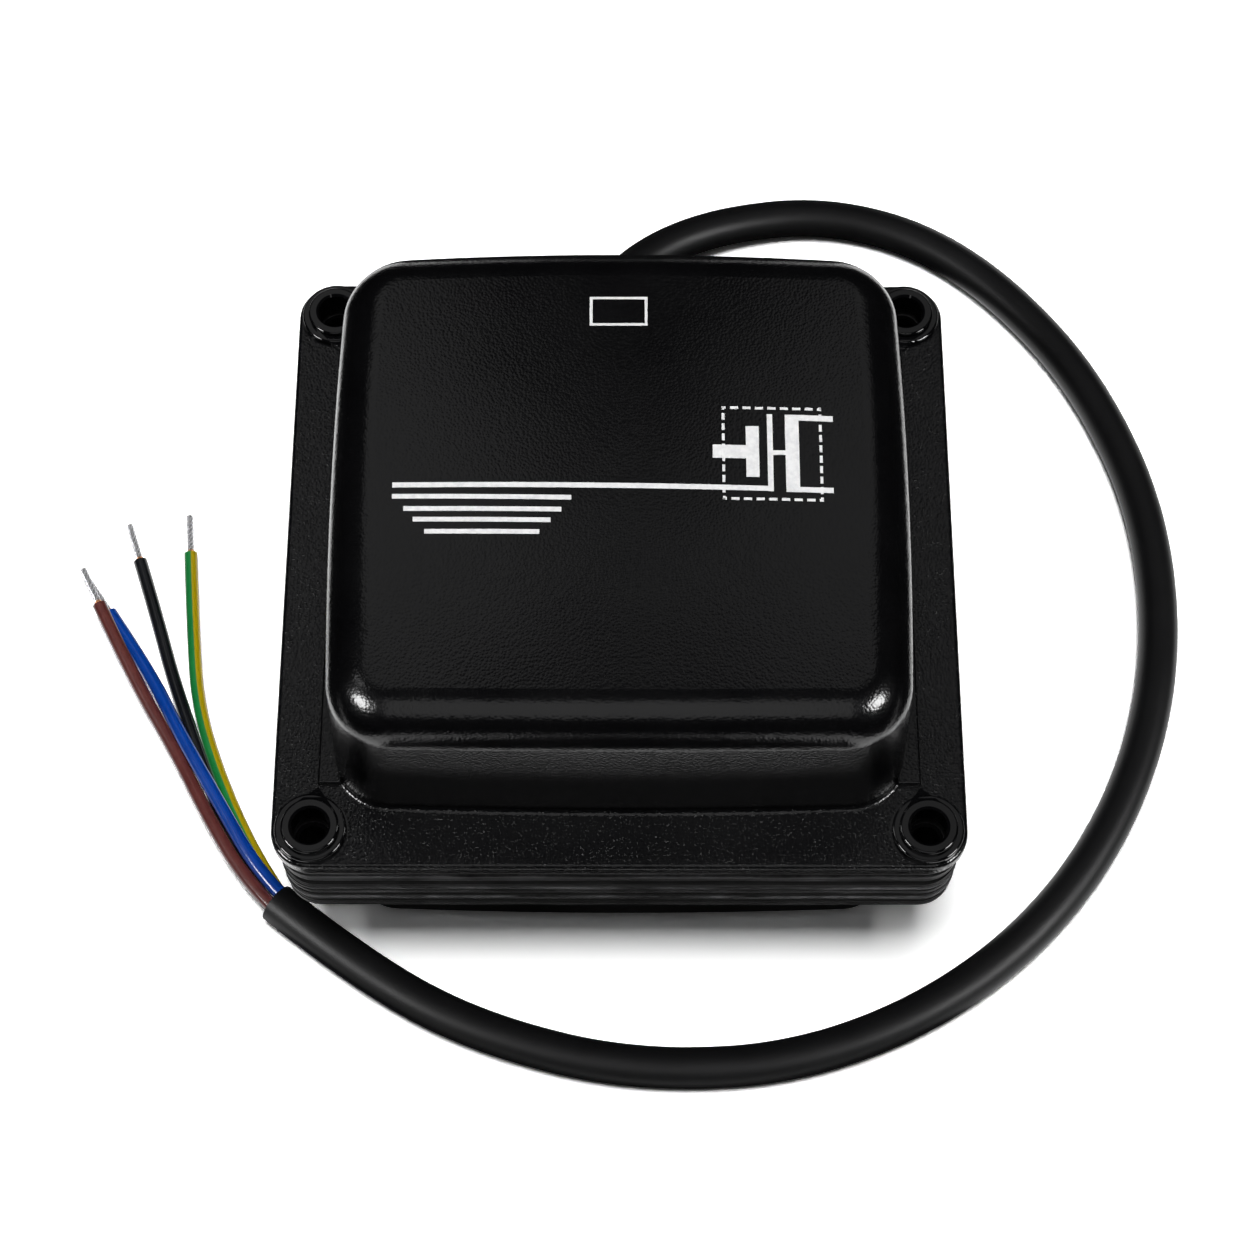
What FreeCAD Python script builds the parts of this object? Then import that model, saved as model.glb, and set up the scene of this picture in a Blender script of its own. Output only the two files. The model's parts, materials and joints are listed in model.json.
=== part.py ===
import FreeCAD, Part

import math
import os

from FreeCAD import Vector

# Ignition transformer: a flat laminated core between two moulded covers, with a mains lead and a
# high voltage socket at the back. Millimetres. The origin is the middle of the underside,
# +Z is up, the front with the bare side is -Y and the lead leaves at the back, +Y.

# Laminated core
core_width = 102.0
core_depth = 98.5
core_height = 16.2
core_corner = 5.7
leg_width = 17.0
centre_leg_width = 34.0
plate_insets = (0.25, 0.05, 0.30, 0.15, 0.35, 0.10, 0.10, 0.10, 0.35, 0.20, 0.05, 0.25, 0.10)
joint_gap = 0.1

# Fixing holes and the clamp sleeves in them
fixing_edge_distance = 5.7
fixing_hole_radius = 2.75
sleeve_bore_radius = 2.15
sleeve_play = 0.05
sleeve_head_radius = 4.0
sleeve_head_thickness = 0.8
sleeve_top_depth = 2.0

# Top cover
cover_wall = 3.0
flange_thickness = 2.2
flange_overhang = 0.2
flange_edge_radius = 0.7
dome_side_setback = 8.2
dome_end_setback = 8.55
dome_height = 29.8
dome_draft = 0.8
dome_corner = 8.5
dome_top_corner = 10.8
dome_bulge = 1.0
dome_shoulder = 7.0
dome_crown = 1.4
dome_foot_radius = 0.8
ledge_width = 1.7
ledge_height = 0.9
ledge_end_distance = 7.0

# Corner bosses on the top cover
boss_ring_radius = 4.3
boss_ring_height = 1.8
boss_base_radius = 5.3
boss_base_height = 0.9
boss_edge_radius = 0.35
tail_length = 6.6
tail_shift = 0.9
tail_tip_height = 0.25

# Bottom cover
tray_side_setback = 7.4
tray_end_setback = 7.75
tray_depth = 27.6
tray_flange_setback = 1.6
tray_foot_radius = 2.5
tray_inner_radius = 1.5
tray_draft = 0.8
tray_corner = 7.0
tray_foot_corner = 6.0

# Windings and their bobbins, along Y from the front of the window
end_gap = 0.5
bobbin_play = 0.3
bobbin_wall = 1.6
bobbin_flange = 1.4
coil_rise = 10.0
flange_side_play = 0.6
primary_length = 26.0
shunt_thickness = 6.0
secondary_sections = 4
winding_play = 0.1
winding_setback = 2.5
wrap_thickness = 0.6
coil_corner = 3.0

# Cable entry, at the back of the bottom cover
cable_offset = 9.0
cable_height = 9.5
cable_boss_radius = 7.0
cable_boss_height = 1.5
grommet_stem_radius = 4.6
grommet_collar_radius = 6.0
grommet_collar_thickness = 2.0
grommet_length = 10.5
grommet_root_radius = 5.4
grommet_tip_radius = 4.1
grommet_groove_depth = 0.6
grommet_groove_width = 1.0
grommet_grooves = 4
cord_play = 0.1

# High voltage socket, at the back of the bottom cover
socket_offset = 22.0
socket_height = 11.5
socket_boss_radius = 8.5
socket_boss_height = 1.5
socket_radius = 6.4
socket_play = 0.1
socket_collar_radius = 7.8
socket_collar_thickness = 2.0
socket_bore_radius = 3.7
socket_bore_depth = 14.0
socket_lead_in = 0.5
socket_grip_step = 0.5
socket_tip_clearance = 0.5
socket_end_wall = 3.0
contact_radius = 1.2
contact_point_length = 4.0
contact_tail_length = 3.0

# Mains lead: its sheath, its four cores and their tinned ends
sheath_diameter = 6.6
core_diameter = 2.3
core_spread = 1.2
strand_diameter = 1.15
rest_play = 0.01
sheath_rest = sheath_diameter / 2
core_rest = core_diameter / 2 + rest_play
sheath_route = [
    (-9.0, 43.6, 9.5), (-9.0, 58.0, 9.5), (-3.6, 72.0, 8.2), (6.1, 82.7, 6.0), (19.3, 89.1, 4.3),
    (36.6, 91.6, sheath_rest), (54.0, 86.6, sheath_rest), (69.1, 74.5, sheath_rest),
    (82.7, 55.4, sheath_rest), (91.5, 29.0, sheath_rest), (90.6, -2.0, sheath_rest),
    (79.4, -30.2, sheath_rest), (59.3, -52.1, sheath_rest), (31.9, -65.6, sheath_rest),
    (3.1, -67.6, sheath_rest), (-22.5, -61.2, sheath_rest), (-41.4, -50.8, sheath_rest),
    (-55.6, -39.5, sheath_rest),
]
brown_route = [
    (-60.7, -35.9, 4.0), (-67.5, -24.9, 3.6), (-74.0, -12.4, 2.3), (-81.4, -0.3, 3.1),
    (-88.4, 13.6, 3.5),
]
blue_route = [
    (-58.8, -34.6, 5.0), (-66.0, -22.3, 4.8), (-73.3, -9.9, 4.4), (-79.3, 1.9, 1.8),
    (-86.9, 13.1, core_rest),
]
black_route = [
    (-60.7, -35.0, 1.4), (-66.9, -21.4, 2.1), (-71.1, -10.4, 2.5), (-75.4, 1.0, core_rest),
    (-78.8, 12.0, core_rest), (-82.5, 22.9, core_rest),
]
earth_route = [
    (-58.6, -33.0, 1.4), (-65.6, -19.0, core_rest), (-70.7, -5.0, core_rest),
    (-72.5, 9.0, core_rest), (-73.9, 24.3, core_rest),
]
tinned_length = 7.2
core_insertion = 1.0

# Working allowances: how deep a feature is rooted, how far a cutter runs past, and a match
root_depth = 0.5
overrun = 5.0
match = 0.01

# Levels worked out from the sizes above
tray_top = tray_depth + flange_thickness
core_base = tray_top
core_top = core_base + core_height
flange_top = core_top + flange_thickness
core_middle = core_base + core_height / 2
hole_x = core_width / 2 - fixing_edge_distance
hole_y = core_depth / 2 - fixing_edge_distance
window_half_length = core_depth / 2 - leg_width
window_outer = core_width / 2 - leg_width
window_inner = centre_leg_width / 2

# Outlines of the covers and places of the two back openings, worked out from the sizes above
dome_half_width = core_width / 2 - dome_side_setback
dome_half_depth = core_depth / 2 - dome_end_setback
tray_half_width = core_width / 2 - tray_side_setback
tray_half_depth = core_depth / 2 - tray_end_setback
cable_x, cable_z = -cable_offset, cable_height
socket_x, socket_z = socket_offset, socket_height


def box(x_range, y_range, z_range):
    corner = Vector(x_range[0], y_range[0], z_range[0])
    return Part.makeBox(
        x_range[1] - x_range[0], y_range[1] - y_range[0], z_range[1] - z_range[0], corner
    )


def post(radius, x, y, low, high):
    return Part.makeCylinder(radius, high - low, Vector(x, y, low))


def fuse(shapes):
    first, *others = shapes
    return first.fuse(others).removeSplitter() if others else first


def rounded_rectangle(half_x, half_y, corner, z):
    """A closed wire: straight sides and quarter-circle corners."""
    edges = []
    inner_x, inner_y = half_x - corner, half_y - corner
    starts = [(inner_x, -half_y), (half_x, inner_y), (-inner_x, half_y), (-half_x, -inner_y)]
    middles = [(1, -1), (1, 1), (-1, 1), (-1, -1)]
    ends = [(half_x, -inner_y), (inner_x, half_y), (-half_x, inner_y), (-inner_x, -half_y)]
    lean = corner * math.sqrt(0.5)
    for i in range(4):
        start = Vector(*starts[i], z)
        middle = Vector(
            middles[i][0] * (inner_x + lean), middles[i][1] * (inner_y + lean), z
        )
        end = Vector(*ends[i], z)
        following = Vector(*starts[(i + 1) % 4], z)
        edges.append(Part.Arc(start, middle, end).toShape())
        edges.append(Part.LineSegment(end, following).toShape())
    return Part.Wire(edges)


def plate(half_x, half_y, corner, low, high):
    face = Part.Face(rounded_rectangle(half_x, half_y, corner, low))
    return face.extrude(Vector(0, 0, high - low))


def bulged_outline(half_x, half_y, corner, bulge, z):
    """A closed wire whose four sides bow outwards by bulge, with corner arcs tangent to them."""
    front_radius = (half_x ** 2 + bulge ** 2) / (2 * bulge)
    side_radius = (half_y ** 2 + bulge ** 2) / (2 * bulge)
    front_centre = half_y - front_radius
    side_centre = half_x - side_radius
    to_front, to_side = front_radius - corner, side_radius - corner
    apart = math.hypot(front_centre, side_centre)
    along = (to_front ** 2 - to_side ** 2 + apart ** 2) / (2 * apart)
    across = math.sqrt(to_front ** 2 - along ** 2)
    step_x, step_y = side_centre / apart, -front_centre / apart
    candidates = [
        (along * step_x - sign * across * step_y, front_centre + along * step_y + sign * across * step_x)
        for sign in (1, -1)
    ]
    centre = max(candidates)
    reach_front = front_radius / to_front
    reach_side = side_radius / to_side
    on_front = (
        centre[0] * reach_front, front_centre + (centre[1] - front_centre) * reach_front
    )
    on_side = (side_centre + (centre[0] - side_centre) * reach_side, centre[1] * reach_side)
    lean_x = on_front[0] + on_side[0] - 2 * centre[0]
    lean_y = on_front[1] + on_side[1] - 2 * centre[1]
    scale = corner / math.hypot(lean_x, lean_y)
    on_corner = (centre[0] + lean_x * scale, centre[1] + lean_y * scale)

    def at(point, sign_x, sign_y):
        return Vector(sign_x * point[0], sign_y * point[1], z)

    edges = []
    for sign_x, sign_y in ((1, -1), (1, 1), (-1, 1), (-1, -1)):
        first, last = (on_front, on_side) if sign_x * sign_y < 0 else (on_side, on_front)
        edges.append(Part.Arc(
            at(first, sign_x, sign_y), at(on_corner, sign_x, sign_y), at(last, sign_x, sign_y)
        ).toShape())
        if sign_x * sign_y < 0:
            mirror_x, mirror_y, apex = 1, -1, Vector(sign_x * half_x, 0, z)
        else:
            mirror_x, mirror_y, apex = -1, 1, Vector(0, sign_y * half_y, z)
        following = at(last, sign_x * mirror_x, sign_y * mirror_y)
        edges.append(Part.Arc(at(last, sign_x, sign_y), apex, following).toShape())
    return Part.Wire(edges)


def dome(half_x, half_y, height, draft, corner, top_corner, shoulder, crown):
    """A drafted block on z = 0 with bowed walls, a rounded shoulder and a domed or flat top."""
    base = bulged_outline(half_x, half_y, corner, dome_bulge, 0)
    top = bulged_outline(half_x - draft, half_y - draft, top_corner, dome_bulge, height)
    body = Part.makeLoft([base, top], True, True)
    if crown > 0:
        radius = (half_x ** 2 + crown ** 2) / (2 * crown)
        ball = Part.makeSphere(radius, Vector(0, 0, height - radius), Vector(0, 1, 0))
        body = body.common(ball)
    level = height - 2 * crown - match
    rim = [e for e in body.Edges if min(v.Z for v in e.Vertexes) > level]
    return body.makeFillet(shoulder, rim)


def place(shape, x=0.0, y=0.0, z=0.0):
    moved = shape.copy()
    moved.translate(Vector(x, y, z))
    return moved


def corners():
    return [(sx, sy) for sy in (-1, 1) for sx in (-1, 1)]


def boss(sign_x, sign_y):
    """A stepped ring round a fixing hole, with a tail that slopes down towards the ledge."""
    x, y = sign_x * hole_x, sign_y * hole_y
    base = post(boss_base_radius, x, y, flange_top - root_depth, flange_top + boss_base_height)
    ring = post(boss_ring_radius, x, y, flange_top - root_depth, flange_top + boss_ring_height)
    base = round_top(base, boss_edge_radius)
    ring = round_top(ring, boss_edge_radius)
    tip = (x - sign_x * tail_shift, y - sign_y * tail_length)
    spread = math.acos(boss_ring_radius / math.hypot(tail_shift, tail_length))
    heading = math.atan2(tip[1] - y, tip[0] - x)
    touching = [
        (x + boss_ring_radius * math.cos(heading + side * spread),
         y + boss_ring_radius * math.sin(heading + side * spread))
        for side in (1, -1)
    ]
    outline = [touching[0], tip, touching[1], (x, y)]
    points = [Vector(px, py, flange_top - root_depth) for px, py in outline]
    tail = Part.Face(Part.makePolygon(points + points[:1])).extrude(
        Vector(0, 0, boss_ring_height + root_depth)
    )
    crest = boss_ring_radius / 2
    slope = math.atan2(boss_ring_height - tail_tip_height, tail_length - crest)
    reach = 2 * tail_length
    cutter = box((-reach, reach), (0, reach), (0, reach))
    cutter.rotate(Vector(), Vector(1, 0, 0), -math.degrees(slope))
    if sign_y > 0:
        cutter = cutter.mirror(Vector(), Vector(0, 1, 0))
    tail = tail.cut(place(cutter, x, y - sign_y * crest, flange_top + boss_ring_height))
    return base.fuse([ring, tail])


def round_top(solid, radius):
    high = solid.BoundBox.ZMax
    rim = [e for e in solid.Edges if min(v.Z for v in e.Vertexes) > high - match]
    return solid.makeFillet(radius, rim)


def ledge(sign_x):
    """The low strip along the foot of a side wall, from tail tip to tail tip."""
    outer = dome_half_width + ledge_width
    half = hole_y - ledge_end_distance
    x_range = sorted((sign_x * (dome_half_width - ledge_width), sign_x * outer))
    strip = box(x_range, (-half, half), (flange_top - root_depth, flange_top + ledge_height))
    return round_top(strip, boss_edge_radius)


def top_cover():
    half_x = core_width / 2 + flange_overhang
    half_y = core_depth / 2 + flange_overhang
    flange = plate(half_x, half_y, core_corner + flange_overhang, core_top, flange_top)
    flange = round_top(flange, flange_edge_radius)
    outside = dome(
        dome_half_width, dome_half_depth, dome_height, dome_draft, dome_corner,
        dome_top_corner, dome_shoulder, dome_crown,
    )
    body = flange.fuse(place(outside, z=flange_top))
    foot = [
        e for e in body.Edges
        if abs(e.BoundBox.ZMin - flange_top) < match and abs(e.BoundBox.ZMax - flange_top) < match
        and abs(e.CenterOfMass.x) < dome_half_width + match
        and abs(e.CenterOfMass.y) < dome_half_depth + match
    ]
    body = body.makeFillet(dome_foot_radius, foot)
    body = body.fuse([ledge(-1), ledge(1)] + [boss(sx, sy) for sx, sy in corners()])
    inside = dome(
        dome_half_width - cover_wall, dome_half_depth - cover_wall,
        dome_height + flange_thickness - cover_wall, dome_draft, dome_corner - cover_wall,
        dome_top_corner - cover_wall, dome_shoulder - cover_wall, dome_crown,
    )
    body = body.cut(place(inside, z=core_top))
    return body.cut([fixing_bore(sx, sy) for sx, sy in corners()])


def fixing_bore(sign_x, sign_y):
    """The hole through a boss, bevelled at its mouth."""
    x, y = sign_x * hole_x, sign_y * hole_y
    mouth = flange_top + boss_ring_height
    bevel = Part.makeCone(
        fixing_hole_radius, fixing_hole_radius + 2 * boss_edge_radius, 2 * boss_edge_radius,
        Vector(x, y, mouth - boss_edge_radius),
    )
    return post(fixing_hole_radius, x, y, core_top - overrun, mouth + overrun).fuse(bevel)


def tray_back():
    """Where the back wall of the bottom cover stands at half height."""
    return tray_half_depth - tray_draft / 2


def bottom_cover():
    outside = dome(
        tray_half_width, tray_half_depth, tray_depth, tray_draft, tray_corner,
        tray_foot_corner, tray_foot_radius, 0,
    )
    half_x = core_width / 2 - tray_flange_setback
    half_y = core_depth / 2 - tray_flange_setback
    flange = plate(half_x, half_y, core_corner, -flange_thickness, 0)
    body = outside.fuse(flange).mirror(Vector(), Vector(0, 0, 1))
    body = place(body, z=tray_depth)
    wall = tray_back()
    for x, z, radius, height in (
        (cable_x, cable_z, cable_boss_radius, cable_boss_height),
        (socket_x, socket_z, socket_boss_radius, socket_boss_height),
    ):
        lug = Part.makeCylinder(
            radius, cover_wall + height, Vector(x, wall - cover_wall, z), Vector(0, 1, 0)
        )
        body = body.fuse(lug)
    inside = dome(
        tray_half_width - cover_wall, tray_half_depth - cover_wall,
        tray_depth + flange_thickness - cover_wall, tray_draft, tray_corner - cover_wall,
        tray_foot_corner - cover_wall, tray_inner_radius, 0,
    ).mirror(Vector(), Vector(0, 0, 1))
    body = body.cut(place(inside, z=tray_top))
    openings = [
        post(fixing_hole_radius, sx * hole_x, sy * hole_y, tray_depth - overrun, tray_top + overrun)
        for sx, sy in corners()
    ]
    seat = wall - cover_wall
    for x, z, radius, reach in (
        (cable_x, cable_z, grommet_stem_radius + cord_play, 3 * cover_wall),
        (socket_x, socket_z, socket_radius + socket_play, 3 * cover_wall),
        (cable_x, cable_z, grommet_collar_radius + cord_play, 0),
    ):
        openings.append(Part.makeCylinder(
            radius, cover_wall + reach, Vector(x, seat - cover_wall, z), Vector(0, 1, 0)
        ))
    return body.cut(openings)


def clamp_sleeve(sign_x, sign_y):
    """A hollow rivet: its head bears on the bottom cover, its tube lines up core and covers."""
    x, y = sign_x * hole_x, sign_y * hole_y
    tube = post(fixing_hole_radius - sleeve_play, x, y, tray_depth, core_top - sleeve_top_depth)
    head = post(sleeve_head_radius, x, y, tray_depth - sleeve_head_thickness, tray_depth)
    bore = post(sleeve_bore_radius, x, y, tray_depth - overrun, core_top)
    return tube.fuse(head).cut(bore)


def core_packets(y_low, y_high):
    """The plates between two depths: packets whose edges stand in and out a little."""
    thickness = core_height / len(plate_insets)
    packets = []
    for i, inset in enumerate(plate_insets):
        low = core_base + i * thickness
        packets.append(plate(
            core_width / 2 - inset, core_depth / 2 - inset, core_corner - inset,
            low, low + thickness,
        ))
    stack = packets[0].fuse(packets[1:])
    far = core_width
    stack = stack.common(box((-far, far), (y_low, y_high), (core_base, core_top)))
    holes = [
        post(fixing_hole_radius, sx * hole_x, sy * hole_y, core_base - overrun, core_top + overrun)
        for sx, sy in corners()
    ]
    windows = [
        box(sorted((sx * window_inner, sx * window_outer)),
            (-window_half_length, window_half_length), (core_base - overrun, core_top + overrun))
        for sx in (-1, 1)
    ]
    return stack.cut(holes + windows)


def core_e_plates():
    return core_packets(-core_depth, window_half_length - joint_gap)


def core_i_plates():
    return core_packets(window_half_length, core_depth)


def coil_tube(inner_x, inner_z, outer_x, outer_z, y_low, y_high, corner):
    """A tube round the centre leg, along Y, with rounded corners outside."""
    block = plate(outer_x, outer_z, corner, 0, y_high - y_low)
    hole = box((-inner_x, inner_x), (-inner_z, inner_z), (-overrun, y_high - y_low + overrun))
    tube = block.cut(hole)
    tube.rotate(Vector(), Vector(1, 0, 0), -90)
    return place(tube, y=y_low, z=core_middle)


def tube_sizes():
    inner_x = window_inner + bobbin_play
    inner_z = core_height / 2 + bobbin_play
    return inner_x, inner_z, inner_x + bobbin_wall, inner_z + bobbin_wall


def flange_sizes():
    return window_outer - flange_side_play, core_height / 2 + coil_rise


def bobbin(y_low, y_high, sections):
    inner_x, inner_z, outer_x, outer_z = tube_sizes()
    flange_x, flange_z = flange_sizes()
    parts = [coil_tube(inner_x, inner_z, outer_x, outer_z, y_low, y_high, bobbin_wall / 2)]
    pitch = (y_high - y_low - bobbin_flange) / sections
    for i in range(sections + 1):
        start = y_low + i * pitch
        parts.append(coil_tube(
            inner_x, inner_z, flange_x, flange_z, start, start + bobbin_flange, coil_corner
        ))
    return fuse(parts)


def winding(y_low, y_high, build):
    """A wound coil between two bobbin flanges; build is how far it stands below their rims."""
    _, _, tube_x, tube_z = tube_sizes()
    flange_x, flange_z = flange_sizes()
    return coil_tube(
        tube_x + winding_play, tube_z + winding_play, flange_x - build, flange_z - build,
        y_low + winding_play, y_high - winding_play, coil_corner,
    )


def wrap(y_low, y_high, build):
    """The tape round a winding: a thin tube that follows its outside."""
    flange_x, flange_z = flange_sizes()
    inner_x, inner_z = flange_x - build, flange_z - build
    low, high = y_low + winding_play, y_high - winding_play
    outer = plate(
        inner_x + wrap_thickness, inner_z + wrap_thickness, coil_corner + wrap_thickness,
        0, high - low,
    )
    tube = outer.cut(plate(inner_x, inner_z, coil_corner, -overrun, high - low + overrun))
    tube.rotate(Vector(), Vector(1, 0, 0), -90)
    return place(tube, y=low, z=core_middle)


def primary_range():
    low = -window_half_length + end_gap
    return low, low + primary_length


def shunt_range():
    low = primary_range()[1] + end_gap
    return low, low + shunt_thickness


def secondary_range():
    return shunt_range()[1] + end_gap, window_half_length - end_gap - joint_gap


def magnetic_shunt(sign_x):
    x_range = sorted((sign_x * (window_inner + bobbin_play), sign_x * (window_outer - bobbin_play)))
    return box(x_range, shunt_range(), (core_base, core_top))


def revolve_along_y(profile, x, z):
    """A turned piece: profile holds (distance along Y, radius) pairs, its axis is at x, z."""
    points = [Vector(x, along, z + radius) for along, radius in profile]
    face = Part.Face(Part.makePolygon(points + points[:1]))
    return face.revolve(Vector(x, 0, z), Vector(0, 1, 0), 360)


def cable_grommet():
    """A bush through the wall with a collar inside, and a grooved taper outside."""
    face = tray_back() + cable_boss_height
    back = face - cover_wall - cable_boss_height
    bore = sheath_diameter / 2 + cord_play
    tip = face + grommet_length
    stem = grommet_stem_radius
    profile = [
        (back - grommet_collar_thickness, bore),
        (back - grommet_collar_thickness, grommet_collar_radius),
        (back, grommet_collar_radius),
        (back, stem),
        (face, stem),
        (face, grommet_collar_radius),
        (face + grommet_collar_thickness, grommet_collar_radius),
        (face + grommet_collar_thickness, grommet_root_radius),
        (tip, grommet_tip_radius),
        (tip, bore),
    ]
    body = revolve_along_y(profile, cable_x, cable_z)
    taper = grommet_length - grommet_collar_thickness
    pitch = taper / grommet_grooves
    for i in range(grommet_grooves):
        start = face + grommet_collar_thickness + (i + 0.5) * pitch - grommet_groove_width / 2
        share = (start - face - grommet_collar_thickness) / taper
        radius = grommet_root_radius + share * (grommet_tip_radius - grommet_root_radius)
        floor = radius - grommet_groove_depth
        body = body.cut(revolve_along_y(
            [(start, floor), (start, radius + overrun), (start + grommet_groove_width, radius + overrun),
             (start + grommet_groove_width, floor)], cable_x, cable_z,
        ))
    return body


def hv_socket():
    """The insulator that takes the ignition cable, its bore narrower round the contact's point."""
    face = tray_back() + socket_boss_height
    mouth = face + socket_collar_thickness
    floor = mouth - socket_bore_depth
    end = floor - socket_end_wall
    step = floor + contact_point_length + socket_tip_clearance
    bore, grip = socket_bore_radius, socket_bore_radius - socket_grip_step
    profile = [
        (end, contact_radius), (end, socket_radius), (face, socket_radius),
        (face, socket_collar_radius), (mouth, socket_collar_radius),
        (mouth, bore + socket_lead_in), (mouth - socket_lead_in, bore),
        (step, bore), (step - socket_grip_step, grip), (floor, grip), (floor, contact_radius),
    ]
    return revolve_along_y(profile, socket_x, socket_z)


def hv_contact():
    """The pointed pin that enters the middle of the ignition cable."""
    mouth = tray_back() + socket_boss_height + socket_collar_thickness
    floor = mouth - socket_bore_depth
    end = floor - socket_end_wall - contact_tail_length
    profile = [
        (end, 0), (end, contact_radius), (floor + contact_point_length / 2, contact_radius),
        (floor + contact_point_length, 0),
    ]
    return revolve_along_y(profile, socket_x, socket_z)


def arc_radii(points):
    """The radius of each arc: as large as its two runs allow."""
    radii = []
    for before, point, after in zip(points, points[1:], points[2:]):
        run_in, run_out = point - before, after - point
        turn = run_in.getAngle(run_out)
        radii.append(0.45 * min(run_in.Length, run_out.Length) / math.tan(turn / 2))
    return radii


def path_wire(points):
    """Straight runs joined by tangent arcs."""
    edges = []
    at = points[0]
    for i, radius in enumerate(arc_radii(points), start=1):
        point = points[i]
        inward, outward = points[i - 1] - point, points[i + 1] - point
        reach = 0.45 * min(inward.Length, outward.Length)
        inward.normalize()
        outward.normalize()
        bisector = inward + outward
        bisector.normalize()
        start, end = point + inward * reach, point + outward * reach
        to_centre = math.hypot(radius, reach)
        middle = point + bisector * (to_centre - radius)
        edges.append(Part.LineSegment(at, start).toShape())
        edges.append(Part.Arc(start, middle, end).toShape())
        at = end
    edges.append(Part.LineSegment(at, points[-1]).toShape())
    return Part.Wire(edges)


def tube(name, points, diameter):
    """A round solid along the path, with its smallest radius, length and volume reported."""
    path = path_wire(points)
    start = points[1] - points[0]
    ring = Part.Wire(Part.makeCircle(diameter / 2, points[0], start))
    solid = path.makePipeShell([ring], True, False)
    ideal = math.pi * (diameter / 2) ** 2 * path.Length
    radii = ", ".join(f"{r:.1f}" for r in arc_radii(points))
    print(f"{name}: length {path.Length:.1f}, volume {solid.Volume / ideal:.4f} of ideal, radii {radii}")
    return solid


def route(points):
    return [Vector(*p) for p in points]


def core_start(side, level):
    """Where a core starts, just inside the cut end of the sheath; side and level are 1 or -1."""
    last, end = route(sheath_route)[-2:]
    heading = end - last
    heading.normalize()
    across = Vector(-heading.y, heading.x, 0)
    inside = end - heading * core_insertion
    return inside + across * (side * core_spread) + Vector(0, 0, level * core_spread)


def cord_pieces():
    sheath = route(sheath_route)
    cores = {
        "wire_brown": [core_start(1, 1)] + route(brown_route),
        "wire_blue": [core_start(-1, 1)] + route(blue_route),
        "wire_black": [core_start(1, -1)] + route(black_route),
        "wire_green_yellow": [core_start(-1, -1)] + route(earth_route),
    }
    pieces = {"mains_sheath": tube("mains_sheath", sheath, sheath_diameter)}
    for name, points in cores.items():
        pieces[name] = tube(name, points, core_diameter).cut(pieces["mains_sheath"])
        heading = points[-1] - points[-2]
        tip = Part.makeCylinder(strand_diameter / 2, tinned_length, points[-1], heading)
        pieces[name.replace("wire", "tinned_end")] = tip
    return pieces


def coil_pieces():
    primary, secondary = primary_range(), secondary_range()
    pieces = {
        "primary_bobbin": bobbin(*primary, 1),
        "secondary_bobbin": bobbin(*secondary, secondary_sections),
        "shunt_left": magnetic_shunt(-1),
        "shunt_right": magnetic_shunt(1),
    }
    build = winding_setback
    inner = (primary[0] + bobbin_flange, primary[1] - bobbin_flange)
    pieces["primary_winding"] = winding(*inner, build)
    pieces["primary_wrap"] = wrap(*inner, build)
    pitch = (secondary[1] - secondary[0] - bobbin_flange) / secondary_sections
    for i in range(secondary_sections):
        start = secondary[0] + i * pitch
        inner = (start + bobbin_flange, start + pitch)
        pieces[f"secondary_winding_{i + 1}"] = winding(*inner, build)
    return pieces


def build():
    pieces = {
        "top_cover": top_cover(),
        "bottom_cover": bottom_cover(),
        "core_e_plates": core_e_plates(),
        "core_i_plates": core_i_plates(),
        "cable_grommet": cable_grommet(),
        "hv_socket": hv_socket(),
        "hv_contact": hv_contact(),
    }
    names = {(-1, -1): "front_left", (1, -1): "front_right", (-1, 1): "back_left", (1, 1): "back_right"}
    for sign_x, sign_y in corners():
        pieces["clamp_sleeve_" + names[sign_x, sign_y]] = clamp_sleeve(sign_x, sign_y)
    pieces.update(coil_pieces())
    pieces.update(cord_pieces())
    return pieces


os.makedirs("parts", exist_ok=True)
for name, shape in build().items():
    if not shape.isValid():
        print(name, "is not a valid solid")
    shape.exportStep(f"parts/{name}.step")
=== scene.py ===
"""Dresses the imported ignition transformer: finishes, print, core plates, lead, studio and camera."""

import json
import logging
import math
from dataclasses import dataclass, field
from enum import Enum

import bmesh
import bpy
from mathutils import Matrix, Vector


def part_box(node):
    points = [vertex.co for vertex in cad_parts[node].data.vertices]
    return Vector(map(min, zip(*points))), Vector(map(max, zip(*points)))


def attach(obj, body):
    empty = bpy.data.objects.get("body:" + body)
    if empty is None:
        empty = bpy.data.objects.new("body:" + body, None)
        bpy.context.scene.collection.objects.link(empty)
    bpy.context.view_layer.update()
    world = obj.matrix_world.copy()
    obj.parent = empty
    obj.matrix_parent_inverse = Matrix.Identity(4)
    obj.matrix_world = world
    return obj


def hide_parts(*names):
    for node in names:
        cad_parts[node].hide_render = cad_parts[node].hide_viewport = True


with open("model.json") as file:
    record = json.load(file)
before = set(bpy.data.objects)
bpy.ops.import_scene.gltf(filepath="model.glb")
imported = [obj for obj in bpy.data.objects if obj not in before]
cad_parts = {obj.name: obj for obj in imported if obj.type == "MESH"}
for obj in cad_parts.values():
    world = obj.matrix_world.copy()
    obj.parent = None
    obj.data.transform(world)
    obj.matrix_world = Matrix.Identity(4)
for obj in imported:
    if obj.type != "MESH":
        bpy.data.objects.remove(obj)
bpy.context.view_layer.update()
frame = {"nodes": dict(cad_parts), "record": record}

MM = 0.001
ROOT = "root"
log = logging.getLogger("ignition_transformer")

Colour = tuple[float, float, float]
Point = tuple[float, float, float]
Flat = tuple[float, float]
Socket = bpy.types.NodeSocket

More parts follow.
